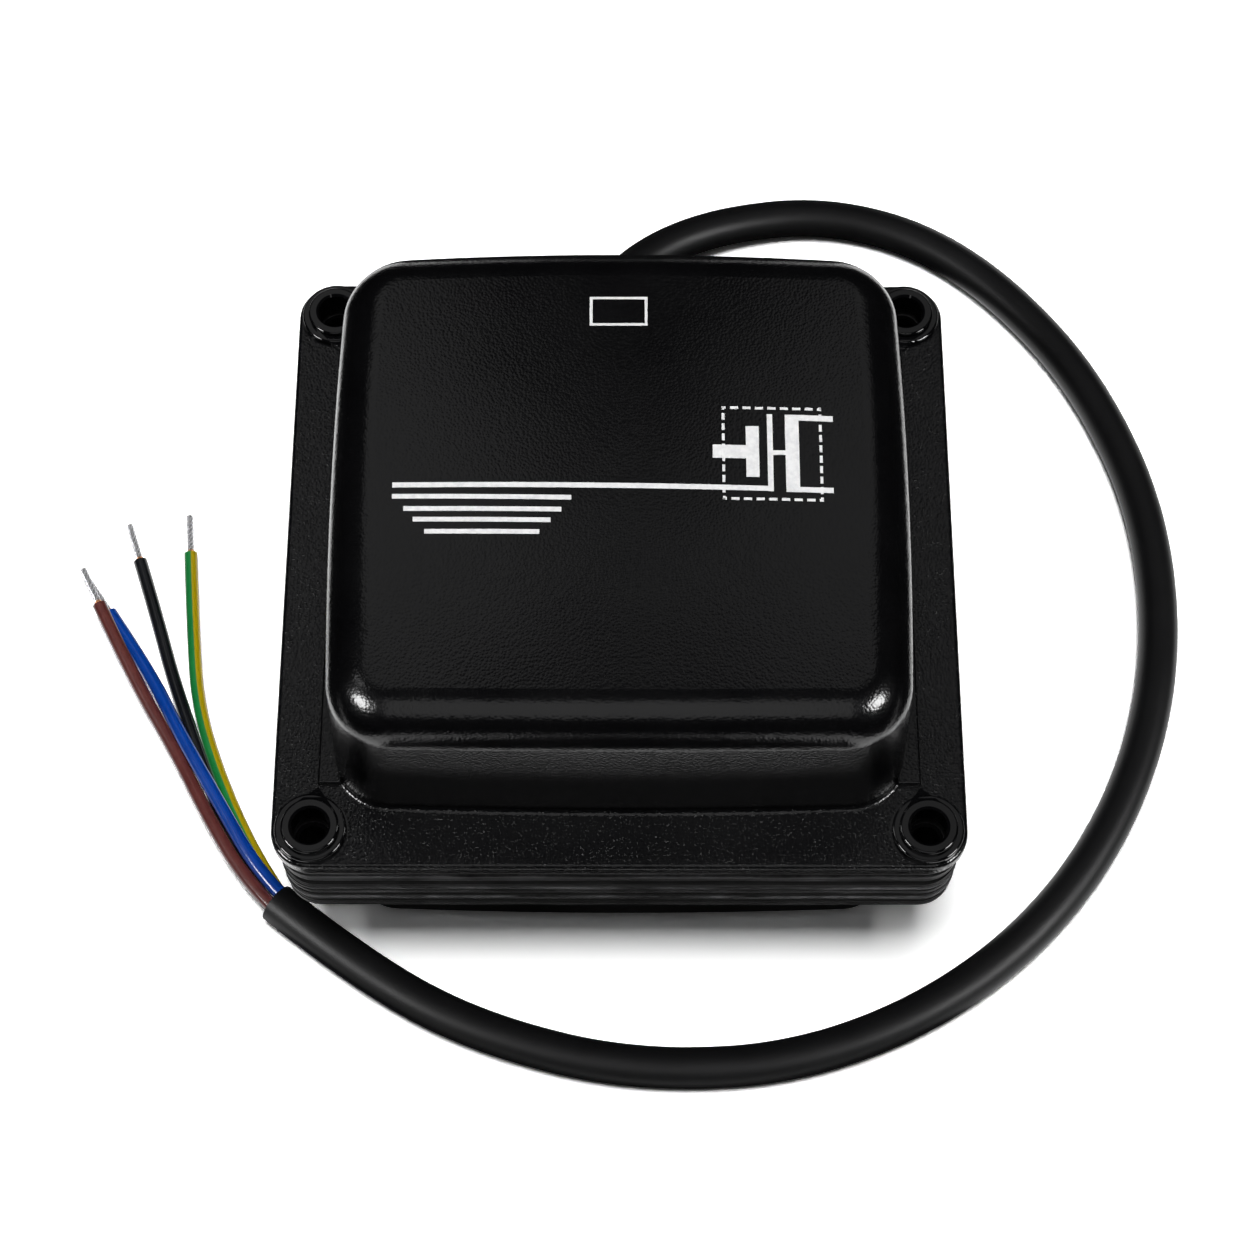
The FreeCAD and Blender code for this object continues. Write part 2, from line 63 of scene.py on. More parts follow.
# Most of a noise's values lie between these two.
NOISE_LOW = 0.3
NOISE_HIGH = 0.7


def linear(red: int, green: int, blue: int) -> Colour:
    """Turns screen values into the linear values that shaders take.

    Args:
        red: the red channel, from 0 to 255.
        green: the green channel.
        blue: the blue channel.

    Returns:
        The linear colour.
    """
    def channel(value: int) -> float:
        """One channel's linear value."""
        share = value / 255
        return share / 12.92 if share <= 0.04045 else ((share + 0.055) / 1.055) ** 2.4

    return channel(red), channel(green), channel(blue)


def fixing_hole() -> Flat:
    """How far each fixing hole is from the middle, along X and along Y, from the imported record."""
    sizes = next(mount["dims"] for mount in frame["record"]["mounts"] if mount["name"] == "fixing_holes")
    return sizes["spacing_x_mm"] / 2 * MM, sizes["spacing_y_mm"] / 2 * MM


def link_object(name: str, data: bpy.types.ID) -> bpy.types.Object:
    """Puts a new object in the scene, at the origin.

    Args:
        name: the object's name.
        data: its mesh, curve, lamp or camera.

    Returns:
        The object.
    """
    made = bpy.data.objects.new(name, data)
    bpy.context.scene.collection.objects.link(made)
    return made


# Node trees


class Nodes:
    """A node tree that is being built, with short calls to add and join its nodes."""

    def __init__(self, tree: bpy.types.NodeTree) -> None:
        """Starts on a shader or geometry tree."""
        self.tree = tree

    def add(self, kind: str, settings: dict | None = None, inputs: dict | None = None) -> bpy.types.Node:
        """Adds a node.

        Args:
            kind: the node's type, such as ShaderNodeMath.
            settings: the node's own properties.
            inputs: a value, or another node's output, for each input, by its name or index.

        Returns:
            The new node.
        """
        node = self.tree.nodes.new(kind)
        for key, value in (settings or {}).items():
            setattr(node, key, value)
        for key, value in (inputs or {}).items():
            self.feed(node.inputs[key], value)
        return node

    def feed(self, socket: Socket, value: object) -> None:
        """Links a value that is an output, and otherwise writes it on the socket.

        Args:
            socket: the input that is fed.
            value: another node's output, a number, a vector or a colour.
        """
        if isinstance(value, Socket):
            self.tree.links.new(value, socket)
        elif isinstance(value, tuple) and len(value) == 3 and socket.type == "RGBA":
            socket.default_value = (*value, 1.0)
        else:
            socket.default_value = value

    def math(self, operation: str, first: object, second: object = 0.0) -> Socket:
        """The result of one arithmetic step on two values."""
        return self.add("ShaderNodeMath", {"operation": operation}, {0: first, 1: second}).outputs[0]

    def vector_math(self, operation: str, first: object, second: object) -> Socket:
        """The result of one arithmetic step on two vectors, or on a vector and a factor for SCALE."""
        key = "Scale" if operation == "SCALE" else 1
        return self.add("ShaderNodeVectorMath", {"operation": operation}, {0: first, key: second}).outputs[0]

    def span(self, value: object, low: float, high: float, start: object = 0.0, end: object = 1.0) -> Socket:
        """Maps the range from low to high onto start to end, clamped.

        Args:
            value: the output that is mapped.
            low: where the mapped range starts.
            high: where it ends.
            start: the result at low.
            end: the result at high.

        Returns:
            The mapped output.
        """
        inputs = {"Value": value, "From Min": low, "From Max": high, "To Min": start, "To Max": end}
        return self.add("ShaderNodeMapRange", None, inputs).outputs["Result"]

    def blend(self, share: object, first: object, second: object) -> Socket:
        """A colour between two colours."""
        node = self.add("ShaderNodeMix", {"data_type": "RGBA"}, {"Factor": share, "A": first, "B": second})
        return node.outputs["Result"]

    def noise(self, vector: object, scale: object, detail: float = 3.0, roughness: float = 0.5) -> Socket:
        """Noise from 0 to 1 at a scale per metre."""
        inputs = {"Vector": vector, "Scale": scale, "Detail": detail, "Roughness": roughness}
        return self.add("ShaderNodeTexNoise", None, inputs).outputs[0]

    def split(self, vector: object) -> bpy.types.bpy_prop_collection:
        """The X, Y and Z outputs of a vector."""
        return self.add("ShaderNodeSeparateXYZ", None, {0: vector}).outputs

    def upward(self, height: object) -> Socket:
        """A vector straight up, of a given height."""
        return self.add("ShaderNodeCombineXYZ", None, {"Z": height}).outputs[0]

    def group(self, tree: bpy.types.NodeTree, inputs: dict) -> bpy.types.Node:
        """Places a shader group with its own values."""
        return self.add("ShaderNodeGroup", {"node_tree": tree}, inputs)


Started = tuple[Nodes, bpy.types.Node, bpy.types.Node]


def new_group(name: str, inputs: dict[str, tuple[str, object]], output: str) -> Started:
    """A shader group that takes a place and gives one number.

    Args:
        name: the group's name.
        inputs: each further input's socket type and first value.
        output: the output's name.

    Returns:
        The tree's builder, its input node and its output node.
    """
    tree = bpy.data.node_groups.new(name, "ShaderNodeTree")
    tree.interface.new_socket(name="Vector", in_out="INPUT", socket_type="NodeSocketVector")
    for key, (kind, value) in inputs.items():
        tree.interface.new_socket(name=key, in_out="INPUT", socket_type=kind).default_value = value
    tree.interface.new_socket(name=output, in_out="OUTPUT", socket_type="NodeSocketFloat")
    return Nodes(tree), tree.nodes.new("NodeGroupInput"), tree.nodes.new("NodeGroupOutput")


@dataclass
class SharedEffects:
    """The shader groups that several finishes use, each built once; scales are per metre."""

    warp_scale: float = 900.0
    warp_reach: float = 0.35 * MM
    pebble_height: float = 0.85
    pebble_size: float = 0.8
    fine_scale: float = 4200.0
    fine_height: float = 0.15
    pimple_scale: float = 2900.0
    pimple_start: float = 0.64
    pimple_end: float = 0.72
    mottle_fine_scale: float = 1400.0
    mottle_broad_share: float = 0.7
    streak_start: float = 0.35
    streak_end: float = 0.65
    grain: bpy.types.NodeTree = field(init=False)
    mottle: bpy.types.NodeTree = field(init=False)
    streaks: bpy.types.NodeTree = field(init=False)

    def __post_init__(self) -> None:
        """Builds every group."""
        self.grain = self.build_grain()
        self.mottle = self.build_mottle()
        self.streaks = self.build_streaks()

    def build_grain(self) -> bpy.types.NodeTree:
        """Leather-like pebbles of a moulding tool, with sharp pimples where they are asked for.

        Returns:
            The group, which gives a height.
        """
        nodes, start, end = new_group("moulded_grain", {
            "Pebbles": ("NodeSocketFloat", 2500.0), "Specks": ("NodeSocketFloat", 0.0)}, "Height")
        place = start.outputs["Vector"]
        warp = nodes.add("ShaderNodeTexNoise", None,
                         {"Vector": place, "Detail": 2.0, "Scale": self.warp_scale})
        shift = nodes.vector_math("SCALE", warp.outputs["Color"], self.warp_reach)
        moved = nodes.vector_math("ADD", place, shift)
        cells = nodes.add("ShaderNodeTexVoronoi", {"feature": "F1"},
                          {"Vector": moved, "Scale": start.outputs["Pebbles"]})
        pebbles = nodes.span(cells.outputs["Distance"], 0.0, self.pebble_size, self.pebble_height, 0.0)
        fine = nodes.math("MULTIPLY", nodes.noise(moved, self.fine_scale, 2.0), self.fine_height)
        pimples = nodes.span(nodes.noise(place, self.pimple_scale, 1.0), self.pimple_start, self.pimple_end)
        specks = nodes.math("MULTIPLY", pimples, start.outputs["Specks"])
        nodes.feed(end.inputs["Height"], nodes.math("ADD", nodes.math("ADD", pebbles, fine), specks))
        return nodes.tree

    def build_mottle(self) -> bpy.types.NodeTree:
        """Slow and fine variation together.

        Returns:
            The group, which gives a value between a low and a high one.
        """
        nodes, start, end = new_group("mottle", {
            "Patches": ("NodeSocketFloat", 60.0), "Low": ("NodeSocketFloat", 0.4),
            "High": ("NodeSocketFloat", 0.5)}, "Value")
        place, share = start.outputs["Vector"], self.mottle_broad_share
        broad = nodes.math("MULTIPLY", nodes.noise(place, start.outputs["Patches"], 4.0), share)
        fine = nodes.math("MULTIPLY", nodes.noise(place, self.mottle_fine_scale, 2.0), 1.0 - share)
        value = nodes.span(nodes.math("ADD", broad, fine), NOISE_LOW, NOISE_HIGH,
                           start.outputs["Low"], start.outputs["High"])
        nodes.feed(end.inputs["Value"], value)
        return nodes.tree

    def build_streaks(self) -> bpy.types.NodeTree:
        """Streaks drawn out along the piece.

        Returns:
            The group, which gives a mask from 0 to 1.
        """
        nodes, start, end = new_group("streaks", {
            "Stretch": ("NodeSocketVector", (1.0, 1.0, 1.0)), "Fineness": ("NodeSocketFloat", 400.0)}, "Mask")
        drawn = nodes.vector_math("MULTIPLY", start.outputs["Vector"], start.outputs["Stretch"])
        lines = nodes.noise(drawn, start.outputs["Fineness"], 4.0, 0.65)
        nodes.feed(end.inputs["Mask"], nodes.span(lines, self.streak_start, self.streak_end))
        return nodes.tree


EFFECTS = SharedEffects()


# Finishes


class Surface(Nodes):
    """A material that is being built: one Principled shader, and the place on the object."""

    def __init__(self, name: str) -> None:
        """Makes an empty material with its shader.

        Args:
            name: the material's name.
        """
        self.material = bpy.data.materials.new(name)
        self.material.use_nodes = True
        super().__init__(self.material.node_tree)
        self.tree.nodes.clear()
        self.shader = self.add("ShaderNodeBsdfPrincipled")
        self.add("ShaderNodeOutputMaterial", None, {"Surface": self.shader.outputs["BSDF"]})
        self.place = self.add("ShaderNodeTexCoord").outputs["Object"]

    def put(self, socket: str, value: object) -> None:
        """Sets one of the shader's inputs."""
        self.feed(self.shader.inputs[socket], value)

    def texture(self, scale: float, detail: float = 3.0, roughness: float = 0.5) -> Socket:
        """Noise from 0 to 1 over the surface."""
        return self.noise(self.place, scale, detail, roughness)

    def mottled(self, patches: float, low: float = 0.0, high: float = 1.0) -> Socket:
        """A value that varies slowly and finely between a low and a high one."""
        values = {"Vector": self.place, "Patches": patches, "Low": low, "High": high}
        return self.group(EFFECTS.mottle, values).outputs["Value"]

    def streaked(self, stretch: Point, fineness: float) -> Socket:
        """A mask of streaks; the least stretched direction is the one that they follow."""
        values = {"Vector": self.place, "Stretch": stretch, "Fineness": fineness}
        return self.group(EFFECTS.streaks, values).outputs["Mask"]

    def attribute(self, name: str) -> Socket:
        """A number that the mesh carries."""
        return self.add("ShaderNodeAttribute", {"attribute_name": name}).outputs["Fac"]

    def relief(self, height: object, depth: float, strength: float = 1.0) -> None:
        """Gives the shader a bump that is as deep as depth, in metres, where the height is 1."""
        bump = self.add("ShaderNodeBump", None, {"Height": height, "Distance": depth, "Strength": strength})
        self.put("Normal", bump.outputs["Normal"])


class Finish:
    """What every finish shares: a name, and the way that its material is made."""

    name: str

    def material(self) -> bpy.types.Material:
        """Builds the material.

        Returns:
            The material, ready for a mesh.
        """
        surface = Surface(self.name)
        self.paint(surface)
        return surface.material

    def paint(self, surface: Surface) -> None:
        """Sets colour, gloss and relief, in each finish's own way."""
        raise NotImplementedError


@dataclass(frozen=True)
class GrainMask:
    """Where a moulding's grain changes: smooth bosses round its holes, a coarser and specked plate."""

    hole_x: float
    hole_y: float
    boss_radius: float
    plate_level: float
    plate_grain: float
    specks: float
    plate_fade: float = 2.0 * MM
    boss_fade: float = 0.3 * MM
    boss_gloss: float = 0.12

    def on_boss(self, surface: Surface) -> Socket:
        """Gives 1 on the bosses and 0 elsewhere.

        Args:
            surface: the material that is being built.

        Returns:
            The mask.
        """
        place = surface.split(surface.place)
        across = surface.math("SUBTRACT", surface.math("ABSOLUTE", place["X"]), self.hole_x)
        along = surface.math("SUBTRACT", surface.math("ABSOLUTE", place["Y"]), self.hole_y)
        square = surface.math("ADD", surface.math("MULTIPLY", across, across),
                              surface.math("MULTIPLY", along, along))
        apart = surface.math("SQRT", square)
        return surface.span(apart, self.boss_radius, self.boss_radius + self.boss_fade, 1.0, 0.0)

    def on_plate(self, surface: Surface, value: float, elsewhere: float) -> Socket:
        """Gives one value on the plate and another above it.

        Args:
            surface: the material that is being built.
            value: what holds on the plate.
            elsewhere: what holds above it.

        Returns:
            The value at each place.
        """
        level = surface.split(surface.place)["Z"]
        return surface.span(level, self.plate_level, self.plate_level + self.plate_fade, value, elsewhere)


@dataclass(frozen=True)
class Moulding(Finish):
    """A moulding with the fine grain of its tool."""

    name: str
    colour: Colour
    pale: Colour
    roughness: Flat
    grain_depth: float = 0.03 * MM
    pebbles: float = 2300.0
    specular: float = 0.4
    mask: GrainMask | None = None
    tint_patches: float = 90.0
    gloss_patches: float = 45.0

    def paint(self, surface: Surface) -> None:
        """Mottles colour and gloss and adds the grain, smooth on the bosses if there is a mask.

        Args:
            surface: the material that is being built.
        """
        surface.put("Specular IOR Level", self.specular)
        surface.put("Base Color", surface.blend(surface.mottled(self.tint_patches), self.colour, self.pale))
        rough = surface.mottled(self.gloss_patches, *self.roughness)
        grain = surface.group(EFFECTS.grain, {"Vector": surface.place, "Pebbles": self.pebbles})
        height = grain.outputs["Height"]
        if self.mask is not None:
            surface.feed(grain.inputs["Specks"], self.mask.on_plate(surface, self.mask.specks, 0.0))
            on_boss = self.mask.on_boss(surface)
            strength = surface.math("MULTIPLY", surface.math("SUBTRACT", 1.0, on_boss),
                                    self.mask.on_plate(surface, self.mask.plate_grain, 1.0))
            height = surface.math("MULTIPLY", height, strength)
            rough = surface.math("SUBTRACT", rough, surface.math("MULTIPLY", on_boss, self.mask.boss_gloss))
        surface.put("Roughness", rough)
        surface.relief(height, self.grain_depth)


@dataclass(frozen=True)
class Varnished(Finish):
    """Core plates dipped in black varnish: dark, uneven, streaked along the edges, with painted shade on the
    sheets set back.
    """

    name: str = "varnished_plates_painted_shade"
    dark: Colour = linear(3, 3, 3)
    pale: Colour = linear(122, 122, 124)
    specular: float = 0.25
    roughness: Flat = (0.42, 0.6)
    stretch: Point = (0.05, 0.05, 1.0)
    fineness: float = 1500.0
    drip_scale: float = 160.0
    drip_start: float = 0.2
    drip_end: float = 0.6
    # Between these two insets the pale streaks fade out: painted shade on the sheets set back.
    outer: float = 0.08 * MM
    fully_shaded_inset: float = 0.40 * MM
    depth: float = 0.08 * MM
    strength: float = 0.6

    def paint(self, surface: Surface) -> None:
        """Draws pale streaks on the sheets that stand out and leaves the sheets set back dark, as painted
        shade in the gaps.

        Args:
            surface: the material that is being built.
        """
        surface.put("Specular IOR Level", self.specular)
        streaks = surface.streaked(self.stretch, self.fineness)
        drips = surface.texture(self.drip_scale, 4.0, 0.6)
        # Painted shade: sheets set back keep none of the pale streaks, so they read as shaded gaps.
        outer = surface.span(surface.attribute("inset"), self.outer, self.fully_shaded_inset, 1.0, 0.0)
        mask = surface.math("MULTIPLY", streaks, surface.span(drips, self.drip_start, self.drip_end))
        mask = surface.math("MULTIPLY", mask, outer)
        surface.put("Base Color", surface.blend(mask, self.dark, self.pale))
        surface.put("Roughness", surface.span(drips, NOISE_LOW, NOISE_HIGH, *self.roughness))
        surface.relief(surface.math("ADD", streaks, drips), self.depth, self.strength)


@dataclass(frozen=True)
class Rubber(Finish):
    """Black rubber: a dull sheen with a very fine texture."""

    name: str
    colour: Colour
    pale: Colour
    roughness: Flat
    specular: float = 0.5
    tint_patches: float = 140.0
    gloss_patches: float = 70.0
    texture_scale: float = 3200.0
    depth: float = 0.03 * MM
    strength: float = 0.7

    def paint(self, surface: Surface) -> None:
        """Mottles colour and gloss and adds the fine texture.

        Args:
            surface: the material that is being built.
        """
        surface.put("Specular IOR Level", self.specular)
        surface.put("Base Color", surface.blend(surface.mottled(self.tint_patches), self.colour, self.pale))
        surface.put("Roughness", surface.mottled(self.gloss_patches, *self.roughness))
        surface.relief(surface.texture(self.texture_scale), self.depth, self.strength)


@dataclass(frozen=True)
class Insulation(Finish):
    """Glossy wire insulation, of one colour or of two that share its round."""

    name: str
    colour: Colour
    pale: Colour
    second: Colour | None = None
    second_start: float = 0.22
    second_end: float = 0.72
    border: float = 0.01
    specular: float = 0.5
    roughness: Flat = (0.16, 0.24)
    tint_patches: float = 220.0
    gloss_patches: float = 110.0
    texture_scale: float = 1800.0
    depth: float = 0.03 * MM
    strength: float = 0.5

    def paint(self, surface: Surface) -> None:
        """Mottles the colour, lays the second one beside it and adds a slight unevenness.

        Args:
            surface: the material that is being built.
        """
        surface.put("Specular IOR Level", self.specular)
        base = surface.blend(surface.mottled(self.tint_patches), self.colour, self.pale)
        if self.second is not None:
            base = surface.blend(self.second_share(surface), base, self.second)
        surface.put("Base Color", base)
        surface.put("Roughness", surface.mottled(self.gloss_patches, *self.roughness))
        surface.relief(surface.texture(self.texture_scale, 2.0), self.depth, self.strength)

    def second_share(self, surface: Surface) -> Socket:
        """Where the second colour is, by the place round the wire in the piece's own UV map.

        Args:
            surface: the material that is being built.

        Returns:
            The mask, 1 on the second colour.
        """
        turn = surface.split(surface.add("ShaderNodeTexCoord").outputs["UV"])["Y"]
        after = surface.span(turn, self.second_start - self.border, self.second_start + self.border)
        before = surface.span(turn, self.second_end - self.border, self.second_end + self.border, 1.0, 0.0)
        return surface.math("MULTIPLY", after, before)


@dataclass(frozen=True)
class Tinned(Finish):
    """Twisted copper strands that were dipped in tin, with bare copper next to the insulation."""

    name: str = "tinned_strands"
    tin: Colour = (0.78, 0.78, 0.80)
    # The colour in the valleys between strands: painted shade.
    dull: Colour = (0.10, 0.10, 0.11)
    copper: Colour = (0.80, 0.36, 0.14)
    metallic: float = 0.65
    roughness: Flat = (0.16, 0.34)
    bare_end: float = 0.07
    bare_fade: float = 0.03
    spot_scale: float = 1500.0
    spot_end: float = 0.6
    texture_scale: float = 2600.0
    depth: float = 0.06 * MM
    strength: float = 0.6

    def paint(self, surface: Surface) -> None:
        """Darkens the valleys between the strands in patches, as painted shade, and bares the copper at the
        insulation.

        Args:
            surface: the material that is being built.
        """
        surface.put("Metallic", self.metallic)
        spots = surface.texture(self.spot_scale, 4.0, 0.6)
        # Painted shade: the valleys between the strands take the dull colour, in patches.
        dark = surface.math("MULTIPLY", surface.attribute("valley"),
                            surface.span(spots, NOISE_LOW, self.spot_end))
        along, fade_end = surface.attribute("along"), self.bare_end + self.bare_fade
        bare = surface.span(along, self.bare_end, fade_end, 1.0, 0.0)
        surface.put("Base Color", surface.blend(bare, surface.blend(dark, self.tin, self.dull), self.copper))
        surface.put("Roughness", surface.span(spots, NOISE_LOW, NOISE_HIGH, *self.roughness))
        surface.relief(surface.texture(self.texture_scale), self.depth, self.strength)


@dataclass(frozen=True)
class Metal(Finish):
    """Plain or plated metal with fine turning or rolling marks."""

    name: str
    colour: Colour
    dull: Colour
    roughness: Flat
    stretch: Point = (1.0, 1.0, 0.08)
    fineness: float = 2600.0
    patches: float = 180.0
    depth: float = 0.02 * MM
    strength: float = 0.5

    def paint(self, surface: Surface) -> None:
        """Mottles the colour and lets the marks set the gloss and the relief.

        Args:
            surface: the material that is being built.
        """
        surface.put("Metallic", 1.0)
        marks = surface.streaked(self.stretch, self.fineness)
        surface.put("Base Color", surface.blend(surface.mottled(self.patches), self.colour, self.dull))
        surface.put("Roughness", surface.span(marks, 0.0, 1.0, *self.roughness))
        surface.relief(marks, self.depth, self.strength)


@dataclass(frozen=True)
class Wound(Finish):
    """A wound coil: fine turns side by side along the core's middle leg."""

    name: str
    colour: Colour
    shaded_gap: Colour
    pitch: float
    metallic: float = 0.6
    roughness: Flat = (0.6, 0.3)
    wander_scale: float = 300.0
    strength: float = 0.7

    def paint(self, surface: Surface) -> None:
        """Draws the turns, which wander a little, as ridges of wire whose colour darkens into the gaps as
        painted shade.

        Args:
            surface: the material that is being built.
        """
        surface.put("Metallic", self.metallic)
        depth = surface.split(surface.place)["Y"]
        wander = surface.math("MULTIPLY", surface.texture(self.wander_scale, 2.0), self.pitch)
        turn = surface.math("FRACT", surface.math("DIVIDE", surface.math("ADD", depth, wander), self.pitch))
        crest = surface.math("SINE", surface.math("MULTIPLY", turn, math.pi))
        # Painted shade: the colour darkens from each turn's crest into the gap beside it.
        surface.put("Base Color", surface.blend(crest, self.shaded_gap, self.colour))
        surface.put("Roughness", surface.span(crest, 0.0, 1.0, *self.roughness))
        surface.relief(crest, self.pitch / 2, self.strength)


@dataclass(frozen=True)
class Ink(Finish):
    """White screen-printed ink, a little uneven."""

    name: str = "white_ink"
    colour: Colour = (0.80, 0.80, 0.80)
    thin: Colour = (0.66, 0.66, 0.67)
    specular: float = 0.3
    roughness: Flat = (0.5, 0.7)
    wear_scale: float = 1100.0
    wear_start: float = 0.4
    gloss_patches: float = 200.0
    texture_scale: float = 2400.0
    depth: float = 0.02 * MM
    strength: float = 0.5

    def paint(self, surface: Surface) -> None:
        """Thins the ink in spots.

        Args:
            surface: the material that is being built.
        """
        surface.put("Specular IOR Level", self.specular)
        worn = surface.span(surface.texture(self.wear_scale, 4.0, 0.6), self.wear_start, NOISE_HIGH)
        surface.put("Base Color", surface.blend(worn, self.colour, self.thin))
        surface.put("Roughness", surface.mottled(self.gloss_patches, *self.roughness))
        surface.relief(surface.texture(self.texture_scale), self.depth, self.strength)


def dress(names: list[str], finish: Finish) -> None:
    """Gives CAD nodes a finish.

    Args:
        names: the nodes.
        finish: what they are made of.
    """
    material = finish.material()
    for name in names:
        node = frame["nodes"][name]
        node.data.materials.clear()
        node.data.materials.append(material)
        log.info("dressed %s with %s", name, material.name)


# Geometry trees


def new_geometry_tree(name: str, inputs: dict[str, str], takes_geometry: bool = True) -> Started:
    """A geometry tree with named inputs.

    Args:
        name: the tree's name.
        inputs: each input's socket type.
        takes_geometry: whether the object's own mesh comes in.

    Returns:
        The builder, the input node and the output node.
    """
    tree = bpy.data.node_groups.new(name, "GeometryNodeTree")
    if takes_geometry:
        tree.interface.new_socket(name="Geometry", in_out="INPUT", socket_type="NodeSocketGeometry")
    for key, kind in inputs.items():
        tree.interface.new_socket(name=key, in_out="INPUT", socket_type=kind)
    tree.interface.new_socket(name="Geometry", in_out="OUTPUT", socket_type="NodeSocketGeometry")
    return Nodes(tree), tree.nodes.new("NodeGroupInput"), tree.nodes.new("NodeGroupOutput")


def evaluate(name: str, mesh: bpy.types.Mesh, tree: bpy.types.NodeTree, values: dict) -> bpy.types.Mesh:
    """Runs a geometry tree once and returns the result as a plain mesh.

    Args:
        name: the new mesh's name.
        mesh: what goes into the tree.
        tree: the geometry tree.
        values: the tree's inputs, by name.

    Returns:
        The realized mesh, with no modifier left.
    """
    carrier = link_object(name + "_source", mesh)
    modifier = carrier.modifiers.new("shape", "NODES")
    modifier.node_group = tree
    for item in tree.interface.items_tree:
        if item.in_out == "INPUT" and item.name in values:
            modifier[item.identifier] = values[item.name]
    bpy.context.view_layer.update()
    result = carrier.evaluated_get(bpy.context.evaluated_depsgraph_get())
    made = bpy.data.meshes.new_from_object(result)
    made.name = name
    carrier.modifiers.remove(modifier)
    bpy.data.objects.remove(carrier)
    return made


def keep_number(nodes: Nodes, geometry: Socket, name: str, value: Socket, domain: str = "POINT") -> Socket:
    """Stores a number on a geometry under a name.

    Args:
        nodes: the geometry tree's builder.
        geometry: what takes the number.
        name: the attribute's name.
        value: the number.
        domain: whether it goes on points or on instances.

    Returns:
        The geometry with the number.
    """
    kept = nodes.add("GeometryNodeStoreNamedAttribute", {"data_type": "FLOAT", "domain": domain},
                     {"Geometry": geometry, "Name": name, "Value": value})
    return kept.outputs[0]


def finish_tree(nodes: Nodes, geometry: Socket, start: bpy.types.Node, end: bpy.types.Node
                ) -> bpy.types.NodeTree:
    """Ends a geometry tree: gives the result its material and sends it out.

    Args:
        nodes: the tree's builder.
        geometry: the result, realized.
        start: the tree's input node, which brings the material.
        end: the tree's output node.

    Returns:
        The finished tree.
    """
    dressed = nodes.add("GeometryNodeSetMaterial", None,
                        {"Geometry": geometry, "Material": start.outputs["Finish"]})
    nodes.feed(end.inputs["Geometry"], dressed.outputs[0])
    return nodes.tree


def place_piece(name: str, mesh: bpy.types.Mesh, replaced: tuple[str, ...] = ()
                ) -> bpy.types.Object:
    """Puts a finished mesh in the scene as a piece of the object.

    Args:
        name: the piece's name.
        mesh: its mesh, already in place.
        replaced: the CAD nodes that it stands for.

    Returns:
        The piece.
    """
    piece = link_object(name, mesh)
    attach(piece, ROOT)
    if replaced:
        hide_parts(*replaced)
    log.info("placed %s, %d faces", name, len(mesh.polygons))
    return piece


# Sub-assemblies


@dataclass(frozen=True)
class PrintedBar:
    """One printed bar, in millimetres on the top face; lean is how far it falls per millimetre."""

    left: float
    right: float
    low: float
    high: float
    lean: float = 0.0


